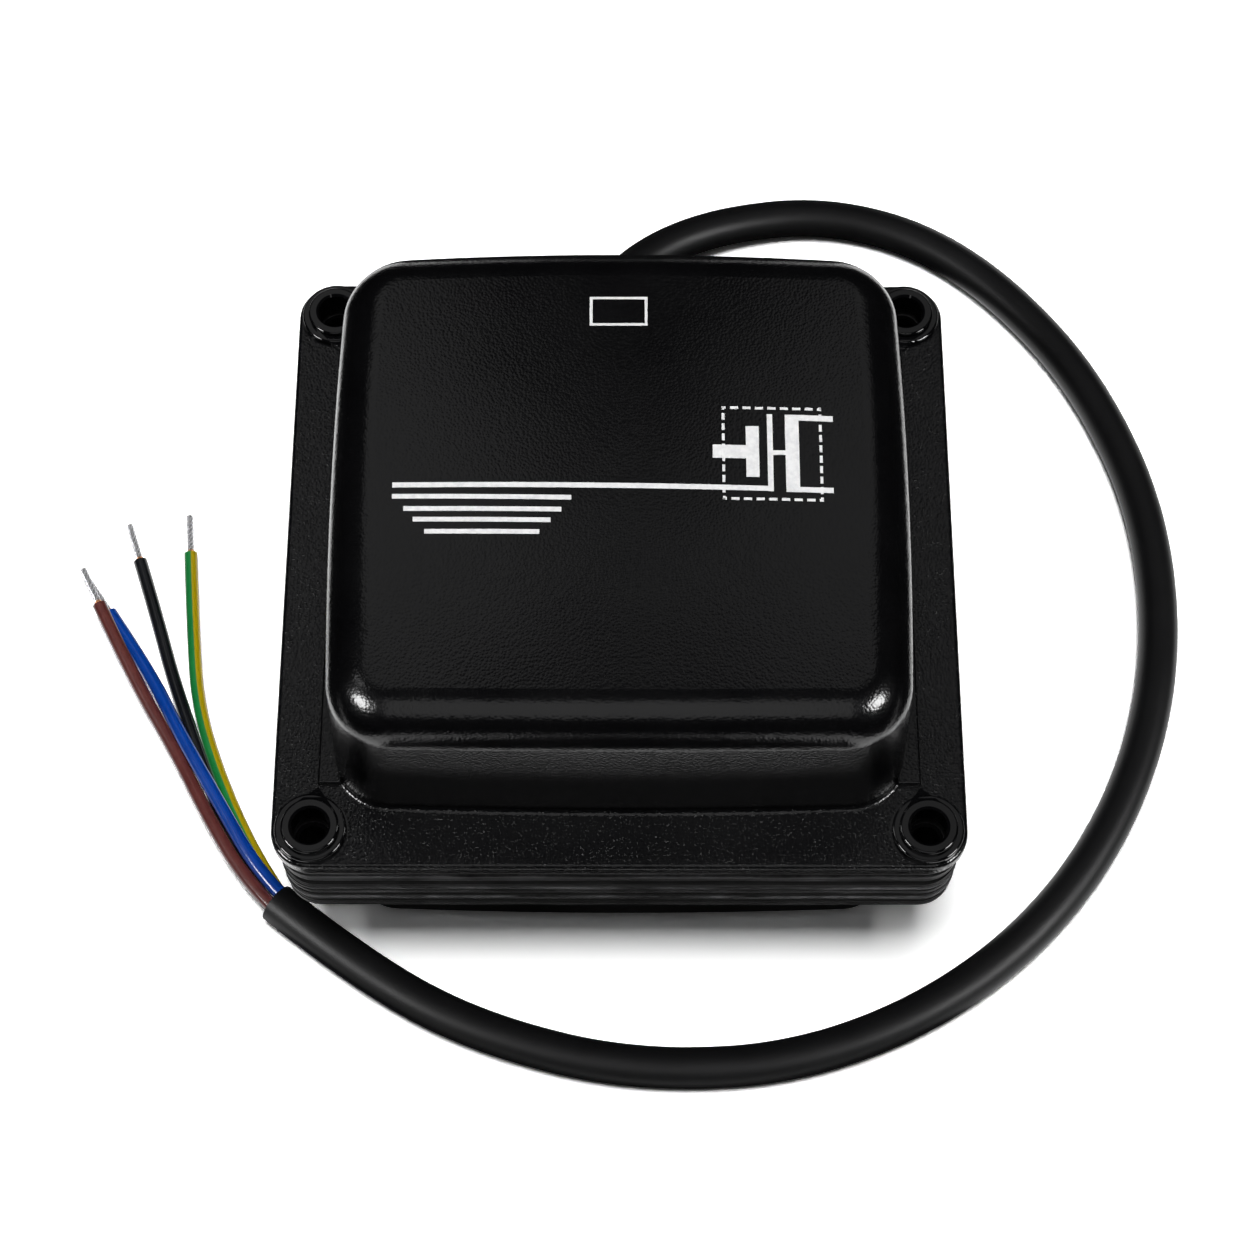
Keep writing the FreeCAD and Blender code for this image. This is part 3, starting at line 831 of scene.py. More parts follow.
@dataclass
class Covers:
    """The two moulded covers and the white print on the upper one."""

    flange_thickness: float = 2.2 * MM
    boss_radius: float = 5.4 * MM
    half_width: float = 42.8 * MM
    crown: float = 1.4 * MM
    top: float = field(default_factory=lambda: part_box("top_cover")[1].z)
    grain_depth: float = 0.02 * MM
    flange_grain: float = 2.0
    flange_specks: float = 1.3
    ink_thickness: float = 0.05 * MM
    ink_sunk: float = 0.05 * MM
    ink_cell: float = 1.5 * MM
    bars: list[PrintedBar] = field(default_factory=lambda: [
        PrintedBar(-32.6, 22.0, -2.12, -1.31, 0.013), PrintedBar(-32.6, -6.9, -3.90, -3.15, 0.020),
        PrintedBar(-30.9, -8.3, -5.90, -5.15, 0.018), PrintedBar(-29.5, -9.8, -7.62, -6.88, 0.018),
        PrintedBar(-27.8, -11.4, -9.56, -8.82, 0.016),
    ])
    diagram: list[PrintedBar] = field(default_factory=lambda: [
        PrintedBar(13.4, 18.3, 2.43, 4.60, 0.01), PrintedBar(18.2, 20.1, -0.62, 7.70),
        PrintedBar(21.3, 22.1, -2.85, 9.73), PrintedBar(22.1, 23.9, 3.05, 3.80, 0.01),
        PrintedBar(23.9, 25.9, -2.93, 9.68), PrintedBar(25.9, 30.9, 8.75, 9.69, 0.02),
        PrintedBar(25.9, 30.7, -2.93, -2.09, 0.01),
    ])
    frame_corners: tuple[float, float, float, float] = (14.75, 29.25, -4.30, 10.95)
    dashes_across: int = 8
    dashes_along: int = 9
    dash_share: float = 0.66
    line_width: float = 0.42
    frame_lean: float = 0.006
    box_corners: tuple[float, float, float, float] = (-4.47, 4.06, 24.54, 29.57)

    def build(self) -> None:
        """Dresses both covers and prints the upper one."""
        flange_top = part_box("core_e_plates")[1].z + self.flange_thickness
        mask = GrainMask(*fixing_hole(), self.boss_radius, flange_top, self.flange_grain, self.flange_specks)
        dress(["top_cover"], Moulding("cover_black", linear(5, 5, 6), linear(10, 10, 11), (0.16, 0.21),
                                      self.grain_depth, specular=0.45, mask=mask))
        dress(["bottom_cover"],
              Moulding("cover_black_lower", linear(7, 7, 8), linear(12, 12, 13), (0.35, 0.5)))
        self.print_marks()

    def crown_level(self, x: float, y: float) -> float:
        """The height of the upper cover's top face over a point."""
        radius = (self.half_width ** 2 + self.crown ** 2) / (2 * self.crown)
        return self.top - radius + math.sqrt(radius ** 2 - x ** 2 - y ** 2)

    def print_marks(self) -> None:
        """Prints the stepped bars, the circuit diagram and the empty rectangle."""
        shape = bmesh.new()
        for bar in self.bars + self.diagram + self.dashed_frame() + self.plain_box():
            self.add_bar(shape, bar)
        mesh = bpy.data.meshes.new("printed_marks")
        shape.to_mesh(mesh)
        shape.free()
        mesh.materials.append(Ink().material())
        place_piece("printed_marks", mesh)

    def plain_box(self) -> list[PrintedBar]:
        """The small empty rectangle near the back edge.

        Returns:
            Its four sides.
        """
        left, right, low, high = self.box_corners
        wide = self.line_width
        return [PrintedBar(left, right, low, low + wide), PrintedBar(left, right, high - wide, high),
                PrintedBar(left, left + wide, low + wide, high - wide),
                PrintedBar(right - wide, right, low + wide, high - wide)]

    def dashes(self, low: float, high: float, count: int) -> list[Flat]:
        """Where the dashes along one side of the frame start and end; a half dash ends it at a corner.

        Args:
            low: where the side starts.
            high: where it ends.
            count: how many times the pattern repeats.

        Returns:
            The start and the end of each dash.
        """
        pitch = (high - low) / count
        half = pitch * self.dash_share / 2
        middles = [low + i * pitch for i in range(count + 1)]
        return [(max(low, middle - half), min(high, middle + half)) for middle in middles]

    def dashed_frame(self) -> list[PrintedBar]:
        """The dashed frame round the circuit diagram.

        Returns:
            Its dashes.
        """
        left, right, low, high = self.frame_corners
        wide, lean = self.line_width, self.frame_lean
        bars = []
        for start, end in self.dashes(left, right, self.dashes_across):
            fall = lean * (start - left)
            bars += [PrintedBar(start, end, level - fall, level + wide - fall, lean)
                     for level in (low, high - wide)]
        for start, end in self.dashes(low, high, self.dashes_along):
            bars += [PrintedBar(side, side + wide, start, end) for side in (left, right - wide)]
        return bars

    def add_bar(self, shape: bmesh.types.BMesh, bar: PrintedBar) -> None:
        """Adds one printed bar as a thin closed sheet that follows the crown.

        Args:
            shape: the mesh under construction.
            bar: where the bar is.
        """
        across = max(1, math.ceil((bar.right - bar.left) * MM / self.ink_cell))
        along = max(1, math.ceil((bar.high - bar.low) * MM / self.ink_cell))
        grid = {}
        for i in range(across + 1):
            for j in range(along + 1):
                step = (bar.right - bar.left) * i / across
                x = (bar.left + step) * MM
                y = (bar.low + (bar.high - bar.low) * j / along - bar.lean * step) * MM
                level = self.crown_level(x, y)
                grid[i, j, 0] = shape.verts.new((x, y, level - self.ink_sunk))
                grid[i, j, 1] = shape.verts.new((x, y, level + self.ink_thickness))
        for i in range(across):
            for j in range(along):
                shape.faces.new([grid[i, j, 1], grid[i + 1, j, 1], grid[i + 1, j + 1, 1], grid[i, j + 1, 1]])
                shape.faces.new([grid[i, j, 0], grid[i, j + 1, 0], grid[i + 1, j + 1, 0], grid[i + 1, j, 0]])
        rim = [(i, 0) for i in range(across)] + [(across, j) for j in range(along)]
        rim += [(i, along) for i in range(across, 0, -1)] + [(0, j) for j in range(along, 0, -1)]
        for here, there in zip(rim, rim[1:] + rim[:1]):
            shape.faces.new([grid[(*here, 0)], grid[(*there, 0)], grid[(*there, 1)], grid[(*here, 1)]])


@dataclass
class CorePlates:
    """The stack of thin plates between the covers, remade sheet by sheet."""

    sheets: int = 32
    edge_round: float = 0.06 * MM
    air: float = 0.01 * MM
    least_inset: float = 0.05 * MM
    most_inset: float = 0.90 * MM
    corner: float = 5.7 * MM
    corner_steps: int = 8
    leg: float = 17.0 * MM
    joint_gap: float = 0.1 * MM
    hole_radius: float = 2.75 * MM
    hole_sides: int = 24
    edge_step: float = 4.0 * MM
    on_edge: float = 0.001 * MM
    seed: int = 11
    deep_sheets: tuple[int, ...] = (31, 30, 27, 26, 21, 20, 19, 18, 10, 9, 3)
    chance_share: float = 0.40
    packet_share: float = 0.20
    packet_scale: float = 0.37
    sway: float = 0.08 * MM
    sway_scale: Point = (70.0, 70.0, 2400.0)
    hole: Flat = field(default_factory=fixing_hole)
    base: float = field(init=False)
    height: float = field(init=False)
    half_x: float = field(init=False)
    half_y: float = field(init=False)

    def __post_init__(self) -> None:
        """Takes the stack's box from the CAD nodes."""
        low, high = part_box("core_e_plates")
        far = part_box("core_i_plates")[1]
        self.base, self.height = low.z, high.z - low.z
        self.half_x = round(max(high.x, -low.x) / MM, 1) * MM
        self.half_y = round(max(far.y, -low.y) / MM, 2) * MM

    def build(self) -> None:
        """Makes both stacks in place of the CAD solids."""
        values = {
            "Sheets": self.sheets, "Pitch": self.height / self.sheets, "Base": self.base,
            "Least inset": self.least_inset, "Most inset": self.most_inset, "Seed": self.seed,
            "Finish": Varnished().material(),
        }
        tree = self.stack_tree()
        for name, node, outline, side in (
            ("stack_of_e_plates", "core_e_plates", self.e_outline(), -1),
            ("stack_of_i_plates", "core_i_plates", self.i_outline(), 1),
        ):
            mesh = evaluate(name, self.plate(name, outline, side), tree, values)
            place_piece(name, mesh, (node,))

    def arc(self, x: float, y: float, start: float) -> list[Flat]:
        """Points of a quarter circle of the corner's radius, anticlockwise.

        Args:
            x: its centre's place along X.
            y: its centre's place along Y.
            start: the angle where it starts, in degrees.

        Returns:
            The points.
        """
        turns = [math.radians(start + 90 * i / self.corner_steps) for i in range(self.corner_steps + 1)]
        return [(x + self.corner * math.cos(turn), y + self.corner * math.sin(turn)) for turn in turns]

    def e_outline(self) -> list[Flat]:
        """The outline of an E plate: two rounded front corners, three legs towards the back.

        Returns:
            Its points.
        """
        x, y, corner = self.half_x, self.half_y, self.corner
        end = y - self.leg - self.joint_gap
        window = x - self.leg
        front = -(y - self.leg)
        points = self.arc(-x + corner, -y + corner, 180) + self.arc(x - corner, -y + corner, 270)
        points += [(x, end), (window, end), (window, front), (self.leg, front), (self.leg, end)]
        points += [(-self.leg, end), (-self.leg, front), (-window, front), (-window, end), (-x, end)]
        return points

    def i_outline(self) -> list[Flat]:
        """The outline of an I plate: the bar across the back, with two rounded corners.

        Returns:
            Its points.
        """
        x, y, corner = self.half_x, self.half_y, self.corner
        points = [(-x, y - self.leg), (x, y - self.leg)]
        return points + self.arc(x - corner, y - corner, 0) + self.arc(-x + corner, y - corner, 90)

    def outer_direction(self, x: float, y: float) -> Vector:
        """Which way is out of the stack at a point of a plate's rim.

        Args:
            x: the point's place along X.
            y: its place along Y.

        Returns:
            The direction, or zero inside the window.
        """
        to_x, to_y = abs(x) - (self.half_x - self.corner), abs(y) - (self.half_y - self.corner)
        if to_x > self.on_edge and to_y > self.on_edge:
            return Vector((math.copysign(to_x, x), math.copysign(to_y, y), 0)).normalized()
        if abs(abs(x) - self.half_x) < self.on_edge:
            return Vector((math.copysign(1, x), 0, 0))
        if abs(abs(y) - self.half_y) < self.on_edge:
            return Vector((0, math.copysign(1, y), 0))
        return Vector((0, 0, 0))

    def subdivided(self, points: list[Flat]) -> list[Flat]:
        """Cuts the long sides of an outline into short steps.

        Args:
            points: the outline.

        Returns:
            The outline with more points.
        """
        made = []
        for (x0, y0), (x1, y1) in zip(points, points[1:] + points[:1]):
            steps = max(1, math.ceil(math.hypot(x1 - x0, y1 - y0) / self.edge_step))
            made += [(x0 + (x1 - x0) * i / steps, y0 + (y1 - y0) * i / steps) for i in range(steps)]
        return made

    def rim_rings(self, shape: bmesh.types.BMesh, outline: list[Flat], thick: float) -> list[list]:
        """The rings of points up a plate's rim, with its two outer edges softened.

        Args:
            shape: the mesh under construction.
            outline: the rim in the XY plane.
            thick: how thick the plate is.

        Returns:
            Four rings from the bottom up, whose points carry the way out of the stack as "outward".
        """
        outward = shape.verts.layers.float_vector.new("outward")
        edge = self.edge_round
        rings = []
        for level, inset in ((0.0, edge), (edge, 0.0), (thick - edge, 0.0), (thick, edge)):
            ring = []
            for x, y in self.subdivided(outline):
                out = self.outer_direction(x, y)
                vert = shape.verts.new((x - out.x * inset, y - out.y * inset, level))
                vert[outward] = out
                ring.append(vert)
            rings.append(ring)
        return rings

    def hole_rings(self, shape: bmesh.types.BMesh, x: float, y: float, thick: float) -> tuple[list, list]:
        """The lower and the upper ring of points of a fixing hole.

        Args:
            shape: the mesh under construction.
            x: the hole's place along X.
            y: its place along Y.
            thick: how thick the plate is.

        Returns:
            Both rings.
        """
        turns = [2 * math.pi * i / self.hole_sides for i in range(self.hole_sides)]
        circle = [(x + self.hole_radius * math.cos(turn), y + self.hole_radius * math.sin(turn))
                  for turn in turns]
        return tuple([shape.verts.new((*point, level)) for point in circle] for level in (0.0, thick))

    def plate(self, name: str, outline: list[Flat], side: int) -> bpy.types.Mesh:
        """One plate with softened outer edges and its two fixing holes.

        Args:
            name: the mesh's name.
            outline: its rim in the XY plane.
            side: 1 for the plate at the back, -1 for the one at the front.

        Returns:
            The closed mesh.
        """
        thick = self.height / self.sheets - self.air
        shape = bmesh.new()
        rings = self.rim_rings(shape, outline, thick)
        holes = [self.hole_rings(shape, sign * self.hole[0], side * self.hole[1], thick) for sign in (-1, 1)]
        for below, above in [*zip(rings, rings[1:]), *holes]:
            self.wall(shape, below, above)
        for end in (0, -1):
            loops = [rings[end]] + [hole[end] for hole in holes]
            edges = [shape.edges.get((a, b)) for loop in loops for a, b in zip(loop, loop[1:] + loop[:1])]
            bmesh.ops.triangle_fill(shape, use_beauty=True, edges=edges)
        bmesh.ops.recalc_face_normals(shape, faces=shape.faces)
        mesh = bpy.data.meshes.new(name)
        shape.to_mesh(mesh)
        shape.free()
        return mesh

    @staticmethod
    def wall(shape: bmesh.types.BMesh, below: list, above: list) -> None:
        """Joins two rings of points with faces.

        Args:
            shape: the mesh under construction.
            below: the lower ring.
            above: the upper ring, with as many points.
        """
        for i, vert in enumerate(below):
            j = (i + 1) % len(below)
            shape.faces.new([vert, below[j], above[j], above[i]])

    def inset_share(self, nodes: Nodes, seed: Socket) -> Socket:
        """How far each sheet stands back, from 0 to 1: by chance, by packet, or all the way.

        Args:
            nodes: the geometry tree's builder.
            seed: the seed of the chance.

        Returns:
            The share for the sheet at hand.
        """
        index = nodes.add("GeometryNodeInputIndex").outputs[0]
        chance = nodes.add("FunctionNodeRandomValue", {"data_type": "FLOAT"}, {"Seed": seed}).outputs[1]
        packet = nodes.add("ShaderNodeTexNoise", {"noise_dimensions": "1D"},
                           {"W": index, "Scale": self.packet_scale, "Detail": 1.0}).outputs[0]
        share = nodes.math("ADD", nodes.math("MULTIPLY", chance, self.chance_share),
                           nodes.span(packet, 0.35, 0.65, 0.0, self.packet_share))
        for sheet in self.deep_sheets:
            apart = nodes.math("ABSOLUTE", nodes.math("SUBTRACT", index, float(sheet)))
            share = nodes.math("MAXIMUM", share, nodes.span(apart, 0.4, 0.6, 1.0, 0.0))
        return share

    def stack_tree(self) -> bpy.types.NodeTree:
        """The tree that repeats one plate up the stack and moves each plate's rim in a little.

        Returns:
            The tree.
        """
        nodes, start, end = new_geometry_tree("plate_stack", {
            "Sheets": "NodeSocketInt", "Pitch": "NodeSocketFloat", "Base": "NodeSocketFloat",
            "Least inset": "NodeSocketFloat", "Most inset": "NodeSocketFloat", "Seed": "NodeSocketInt",
            "Finish": "NodeSocketMaterial",
        })
        least, most = start.outputs["Least inset"], start.outputs["Most inset"]
        line = nodes.add("GeometryNodeMeshLine", None, {
            "Count": start.outputs["Sheets"], "Start Location": nodes.upward(start.outputs["Base"]),
            "Offset": nodes.upward(start.outputs["Pitch"])})
        copies = nodes.add("GeometryNodeInstanceOnPoints", None,
                           {"Points": line.outputs[0], "Instance": start.outputs["Geometry"]})
        share = self.inset_share(nodes, start.outputs["Seed"])
        inset = nodes.math("ADD", least, nodes.math("MULTIPLY", share, nodes.math("SUBTRACT", most, least)))
        kept = keep_number(nodes, copies.outputs[0], "inset", inset, "INSTANCE")
        solid = nodes.add("GeometryNodeRealizeInstances", None, {0: kept})
        outward, depth = (
            nodes.add("GeometryNodeInputNamedAttribute", {"data_type": kind}, {"Name": name}).outputs[0]
            for name, kind in (("outward", "FLOAT_VECTOR"), ("inset", "FLOAT")))
        place = nodes.add("GeometryNodeInputPosition").outputs[0]
        wave = nodes.noise(nodes.vector_math("MULTIPLY", place, self.sway_scale), 1.0, 2.0)
        sway = nodes.span(wave, NOISE_LOW, NOISE_HIGH, 0.0, self.sway)
        shift = nodes.math("MULTIPLY", nodes.math("ADD", depth, sway), -1.0)
        moved = nodes.add("GeometryNodeSetPosition", None, {
            "Geometry": solid.outputs[0], "Offset": nodes.vector_math("SCALE", outward, shift)})
        return finish_tree(nodes, moved.outputs[0], start, end)


@dataclass
class InnerParts:
    """What the covers hide: bobbins, windings, shunts, sleeves, socket and contact."""

    primary_pitch: float = 0.55 * MM
    secondary_pitch: float = 0.2 * MM
    bobbin_pebbles: float = 900.0
    tape_pebbles: float = 700.0
    socket_pebbles: float = 1200.0
    socket_grain: float = 0.04 * MM

    def build(self) -> None:
        """Dresses each hidden CAD node."""
        # Painted shade: the sleeves sit deep in the fixing holes, so their plating is coloured nearly black.
        dress([f"clamp_sleeve_{place}" for place in ("front_left", "front_right", "back_left", "back_right")],
              Metal("plated_sleeves_painted_shade", (0.030, 0.030, 0.032), (0.015, 0.015, 0.015), (0.45, 0.6)))
        dress(["shunt_left", "shunt_right"],
              Metal("shunt_plates", (0.30, 0.30, 0.32), (0.16, 0.16, 0.18), (0.35, 0.55), (0.1, 1.0, 1.0)))
        dress(["primary_bobbin", "secondary_bobbin"],
              Moulding("bobbin_plastic", linear(205, 200, 184), linear(220, 216, 202), (0.38, 0.5),
                       pebbles=self.bobbin_pebbles))
        dress(["primary_winding"],
              Wound("primary_turns", linear(172, 84, 40), linear(60, 22, 10), self.primary_pitch))
        dress([f"secondary_winding_{i}" for i in range(1, 5)],
              Wound("secondary_turns", linear(150, 62, 30), linear(70, 26, 12), self.secondary_pitch))
        dress(["primary_wrap"],
              Moulding("yellow_tape", linear(196, 158, 52), linear(210, 176, 76), (0.3, 0.42),
                       pebbles=self.tape_pebbles))
        dress(["hv_socket"],
              Moulding("socket_insulator", linear(24, 22, 21), linear(34, 31, 29), (0.25, 0.38),
                       self.socket_grain, self.socket_pebbles))
        dress(["hv_contact"],
              Metal("turned_brass", (0.72, 0.52, 0.22), (0.55, 0.38, 0.15), (0.22, 0.4)))


class CoreColour(Enum):
    """The four cores of the lead."""

    BROWN = "brown"
    BLUE = "blue"
    BLACK = "black"
    GREEN_YELLOW = "green_yellow"


@dataclass
class MainsLead:
    """The mains lead with its grommet, its four cores and their tinned ends."""

    sheath_diameter: float = 6.6 * MM
    sheath_steps: int = 24
    core_diameter: float = 2.3 * MM
    core_steps: int = 12
    round_steps: int = 8
    strand_diameter: float = 1.15 * MM
    tinned_length: float = 7.2 * MM
    tinned_rings: int = 72
    section_points: int = 54
    lobes: int = 6
    lobe_depth: float = 0.20
    turns: float = 1.35
    first_seed: int = 3
    seed_step: float = 7.3
    lump_scale: float = 850.0
    lumps: Flat = (-0.07, 0.05)
    sheath_length: float = 0.3786
    sheath_route: tuple[Point, ...] = (
        (-0.0090, 0.0436, 0.0095), (-0.0090, 0.0580, 0.0095), (-0.0036, 0.0720, 0.0082),
        (0.0061, 0.0827, 0.0060), (0.0193, 0.0891, 0.0043), (0.0366, 0.0916, 0.0033),
        (0.0540, 0.0866, 0.0033), (0.0691, 0.0745, 0.0033), (0.0827, 0.0554, 0.0033),
        (0.0915, 0.0290, 0.0033), (0.0906, -0.0020, 0.0033), (0.0794, -0.0302, 0.0033),
        (0.0593, -0.0521, 0.0033), (0.0319, -0.0656, 0.0033), (0.0031, -0.0676, 0.0033),
        (-0.0225, -0.0612, 0.0033), (-0.0414, -0.0508, 0.0033), (-0.0556, -0.0395, 0.0033),
    )
    core_lengths: dict[CoreColour, float] = field(default_factory=lambda: {
        CoreColour.BROWN: 0.0631, CoreColour.BLUE: 0.0612, CoreColour.BLACK: 0.0689,
        CoreColour.GREEN_YELLOW: 0.0666,
    })
    core_routes: dict[CoreColour, tuple[Point, ...]] = field(default_factory=lambda: {
        CoreColour.BROWN: (
            (-0.05556, -0.04106, 0.0045), (-0.0607, -0.0359, 0.0040), (-0.0675, -0.0249, 0.0036),
            (-0.0740, -0.0124, 0.0023), (-0.0814, -0.0003, 0.0031), (-0.0884, 0.0136, 0.0035),
        ),
        CoreColour.BLUE: (
            (-0.05407, -0.03918, 0.0045), (-0.0588, -0.0346, 0.0050), (-0.0660, -0.0223, 0.0048),
            (-0.0733, -0.0099, 0.0044), (-0.0793, 0.0019, 0.0018), (-0.0869, 0.0131, 0.00116),
        ),
        CoreColour.BLACK: (
            (-0.05556, -0.04106, 0.0021), (-0.0607, -0.0350, 0.0014), (-0.0669, -0.0214, 0.0021),
            (-0.0711, -0.0104, 0.0025), (-0.0754, 0.0010, 0.00116), (-0.0788, 0.0120, 0.00116),
            (-0.0825, 0.0229, 0.00116),
        ),
        CoreColour.GREEN_YELLOW: (
            (-0.05407, -0.03918, 0.0021), (-0.0586, -0.0330, 0.0014), (-0.0656, -0.0190, 0.00116),
            (-0.0707, -0.0050, 0.00116), (-0.0725, 0.0090, 0.00116), (-0.0739, 0.0243, 0.00116),
        ),
    })
    finishes: dict[CoreColour, Insulation] = field(default_factory=lambda: {
        CoreColour.BROWN: Insulation("brown_insulation", linear(84, 40, 38), linear(98, 50, 46)),
        CoreColour.BLUE: Insulation("blue_insulation", linear(6, 54, 138), linear(10, 66, 156)),
        CoreColour.BLACK: Insulation("black_insulation", linear(15, 16, 19), linear(24, 25, 28)),
        CoreColour.GREEN_YELLOW: Insulation(
            "green_yellow_insulation", linear(20, 112, 52), linear(32, 128, 62), linear(164, 144, 10)),
    })

    def build(self) -> None:
        """Lays the sheath and the cores and puts a tinned end on each core."""
        rubber = Rubber("sheath_rubber", linear(8, 8, 9), linear(13, 13, 14), (0.42, 0.50), 0.28)
        dress(["cable_grommet"],
              Rubber("grommet_rubber", linear(17, 17, 18), linear(24, 24, 25), (0.45, 0.6)))
        sheath = self.curve("lead_sheath", self.sheath_route, self.sheath_diameter, rubber, self.sheath_steps)
        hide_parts("mains_sheath")
        tree = self.strand_tree()
        tinned = Tinned().material()
        for colour in self.core_routes:
            self.build_core(colour, tree, tinned)

    def build_core(self, colour: CoreColour, tree: bpy.types.NodeTree, tinned: bpy.types.Material) -> None:
        """Lays one core and its tinned end.

        Args:
            colour: which core.
            tree: the geometry tree of a twisted end.
            tinned: the finish of the twisted end.
        """
        name, route = colour.value, self.core_routes[colour]
        wire = self.curve(f"core_{name}", route, self.core_diameter, self.finishes[colour], self.core_steps)
        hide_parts(f"wire_{name}")
        mesh = evaluate(f"strands_{name}", bpy.data.meshes.new("empty"), tree, {
            "Length": self.tinned_length, "Radius": self.strand_diameter / 2, "Turns": self.turns,
            "Seed": list(CoreColour).index(colour) + self.first_seed, "Finish": tinned,
        })
        end, before = Vector(route[-1]), Vector(route[-2])
        turn = (end - before).normalized().to_track_quat("Z", "Y").to_matrix().to_4x4()
        mesh.transform(Matrix.Translation(end) @ turn)
        strands = place_piece(f"strands_{name}", mesh, (f"tinned_end_{name}",))

    def curve(self, name: str, route: tuple[Point, ...], diameter: float, finish: Finish, steps: int
              ) -> bpy.types.Object:
        """A smooth round cord through its control points.

        Args:
            name: the piece's name.
            route: the control points, in metres.
            diameter: the cord's diameter.
            finish: what it is made of.
            steps: how finely each span is divided.

        Returns:
            The cord, riding on the object.
        """
        data = bpy.data.curves.new(name, "CURVE")
        data.dimensions = "3D"
        spline = data.splines.new("NURBS")
        spline.points.add(len(route) - 1)
        for point, place in zip(spline.points, route):
            point.co = (*place, 1.0)
        spline.order_u = 3
        spline.use_endpoint_u = True
        spline.resolution_u = steps
        data.bevel_depth = diameter / 2
        data.bevel_resolution = self.round_steps
        data.use_fill_caps = True
        data.materials.append(finish.material())
        cord = link_object(name, data)
        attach(cord, ROOT)
        log.info("laid %s, %.1f mm thick", name, diameter / MM)
        return cord

    def twist_line(self, nodes: Nodes, start: bpy.types.Node) -> Socket:
        """The straight line that a twisted end follows, which turns and knows how far along it is.

        Args:
            nodes: the geometry tree's builder.
            start: the tree's input node.

        Returns:
            The line.
        """
        tip = nodes.upward(start.outputs["Length"])
        line = nodes.add("GeometryNodeCurvePrimitiveLine", None, {"End": tip})
        steps = nodes.add("GeometryNodeResampleCurve", None,
                          {"Curve": line.outputs[0], "Count": self.tinned_rings})
        share = nodes.add("GeometryNodeSplineParameter").outputs["Factor"]
        tilt = nodes.math("MULTIPLY", nodes.math("MULTIPLY", share, start.outputs["Turns"]), 2 * math.pi)
        turned = nodes.add("GeometryNodeSetCurveTilt", None, {"Curve": steps.outputs[0], "Tilt": tilt})
        return keep_number(nodes, turned.outputs[0], "along", share)

    def lobed_section(self, nodes: Nodes, start: bpy.types.Node) -> Socket:
        """The section of a twisted end: a circle with a valley between each strand and the next.

        Args:
            nodes: the geometry tree's builder.
            start: the tree's input node.

        Returns:
            The section.
        """
        circle = nodes.add("GeometryNodeCurvePrimitiveCircle", None,
                           {"Resolution": self.section_points, "Radius": start.outputs["Radius"]})
        index = nodes.add("GeometryNodeInputIndex").outputs[0]
        angle = nodes.math("MULTIPLY", index, math.pi * self.lobes / self.section_points)
        valley = nodes.math("SUBTRACT", 1.0, nodes.math("ABSOLUTE", nodes.math("SINE", angle)))
        scale = nodes.math("SUBTRACT", 1.0, nodes.math("MULTIPLY", valley, self.lobe_depth))
        place = nodes.add("GeometryNodeInputPosition").outputs[0]
        section = nodes.add("GeometryNodeSetPosition", None, {
            "Geometry": circle.outputs[0], "Position": nodes.vector_math("SCALE", place, scale)})
        return keep_number(nodes, section.outputs[0], "valley", valley)

    def strand_tree(self) -> bpy.types.NodeTree:
        """The tree of a twisted, tinned end: a lobed section swept along a line that turns.

        Returns:
            The tree.
        """
        nodes, start, end = new_geometry_tree("twisted_strands", {
            "Length": "NodeSocketFloat", "Radius": "NodeSocketFloat", "Turns": "NodeSocketFloat",
            "Seed": "NodeSocketInt", "Finish": "NodeSocketMaterial",
        }, takes_geometry=False)
        line, section = self.twist_line(nodes, start), self.lobed_section(nodes, start)
        swept = nodes.add("GeometryNodeCurveToMesh", None,
                          {"Curve": line, "Profile Curve": section, "Fill Caps": True})
        place = nodes.add("GeometryNodeInputPosition").outputs[0]
        seed = nodes.math("MULTIPLY", start.outputs["Seed"], self.seed_step)
        lumps = nodes.add("ShaderNodeTexNoise", {"noise_dimensions": "4D"},
                          {"Vector": place, "W": seed, "Scale": self.lump_scale, "Detail": 2.0})
        push = nodes.span(lumps.outputs[0], NOISE_LOW, NOISE_HIGH, *self.lumps)
        flat = nodes.vector_math("MULTIPLY", place, (1.0, 1.0, 0.0))
        lumpy = nodes.add("GeometryNodeSetPosition", None, {
            "Geometry": swept.outputs[0], "Offset": nodes.vector_math("SCALE", flat, push)})
        solid = nodes.add("GeometryNodeRealizeInstances", None, {0: lumpy.outputs[0]})
        return finish_tree(nodes, solid.outputs[0], start, end)


# Studio


class LampUse(Enum):
    """What a lamp is for: a highlight on smooth surfaces, or the light and shadow of the floor."""

    GLEAM = "gleam"
    SHADE = "shade"


@dataclass(frozen=True)
class SoftBox:
    """One soft lamp over the object."""

    name: str
    place: Point
    aim: Point
    width: float
    depth: float
    watts: float
    use: LampUse

    def build(self) -> None:
        """Hangs the lamp."""
        data = bpy.data.lights.new(self.name, "AREA")
        data.shape = "RECTANGLE"
        data.size, data.size_y = self.width, self.depth
        data.energy = self.watts
        lamp = link_object(self.name, data)
        lamp.location = self.place
        lamp.visible_diffuse = self.use is LampUse.SHADE
        lamp.visible_glossy = self.use is LampUse.GLEAM
        lamp.rotation_mode = "QUATERNION"
        lamp.rotation_quaternion = (Vector(self.aim) - Vector(self.place)).to_track_quat("-Z", "Y")


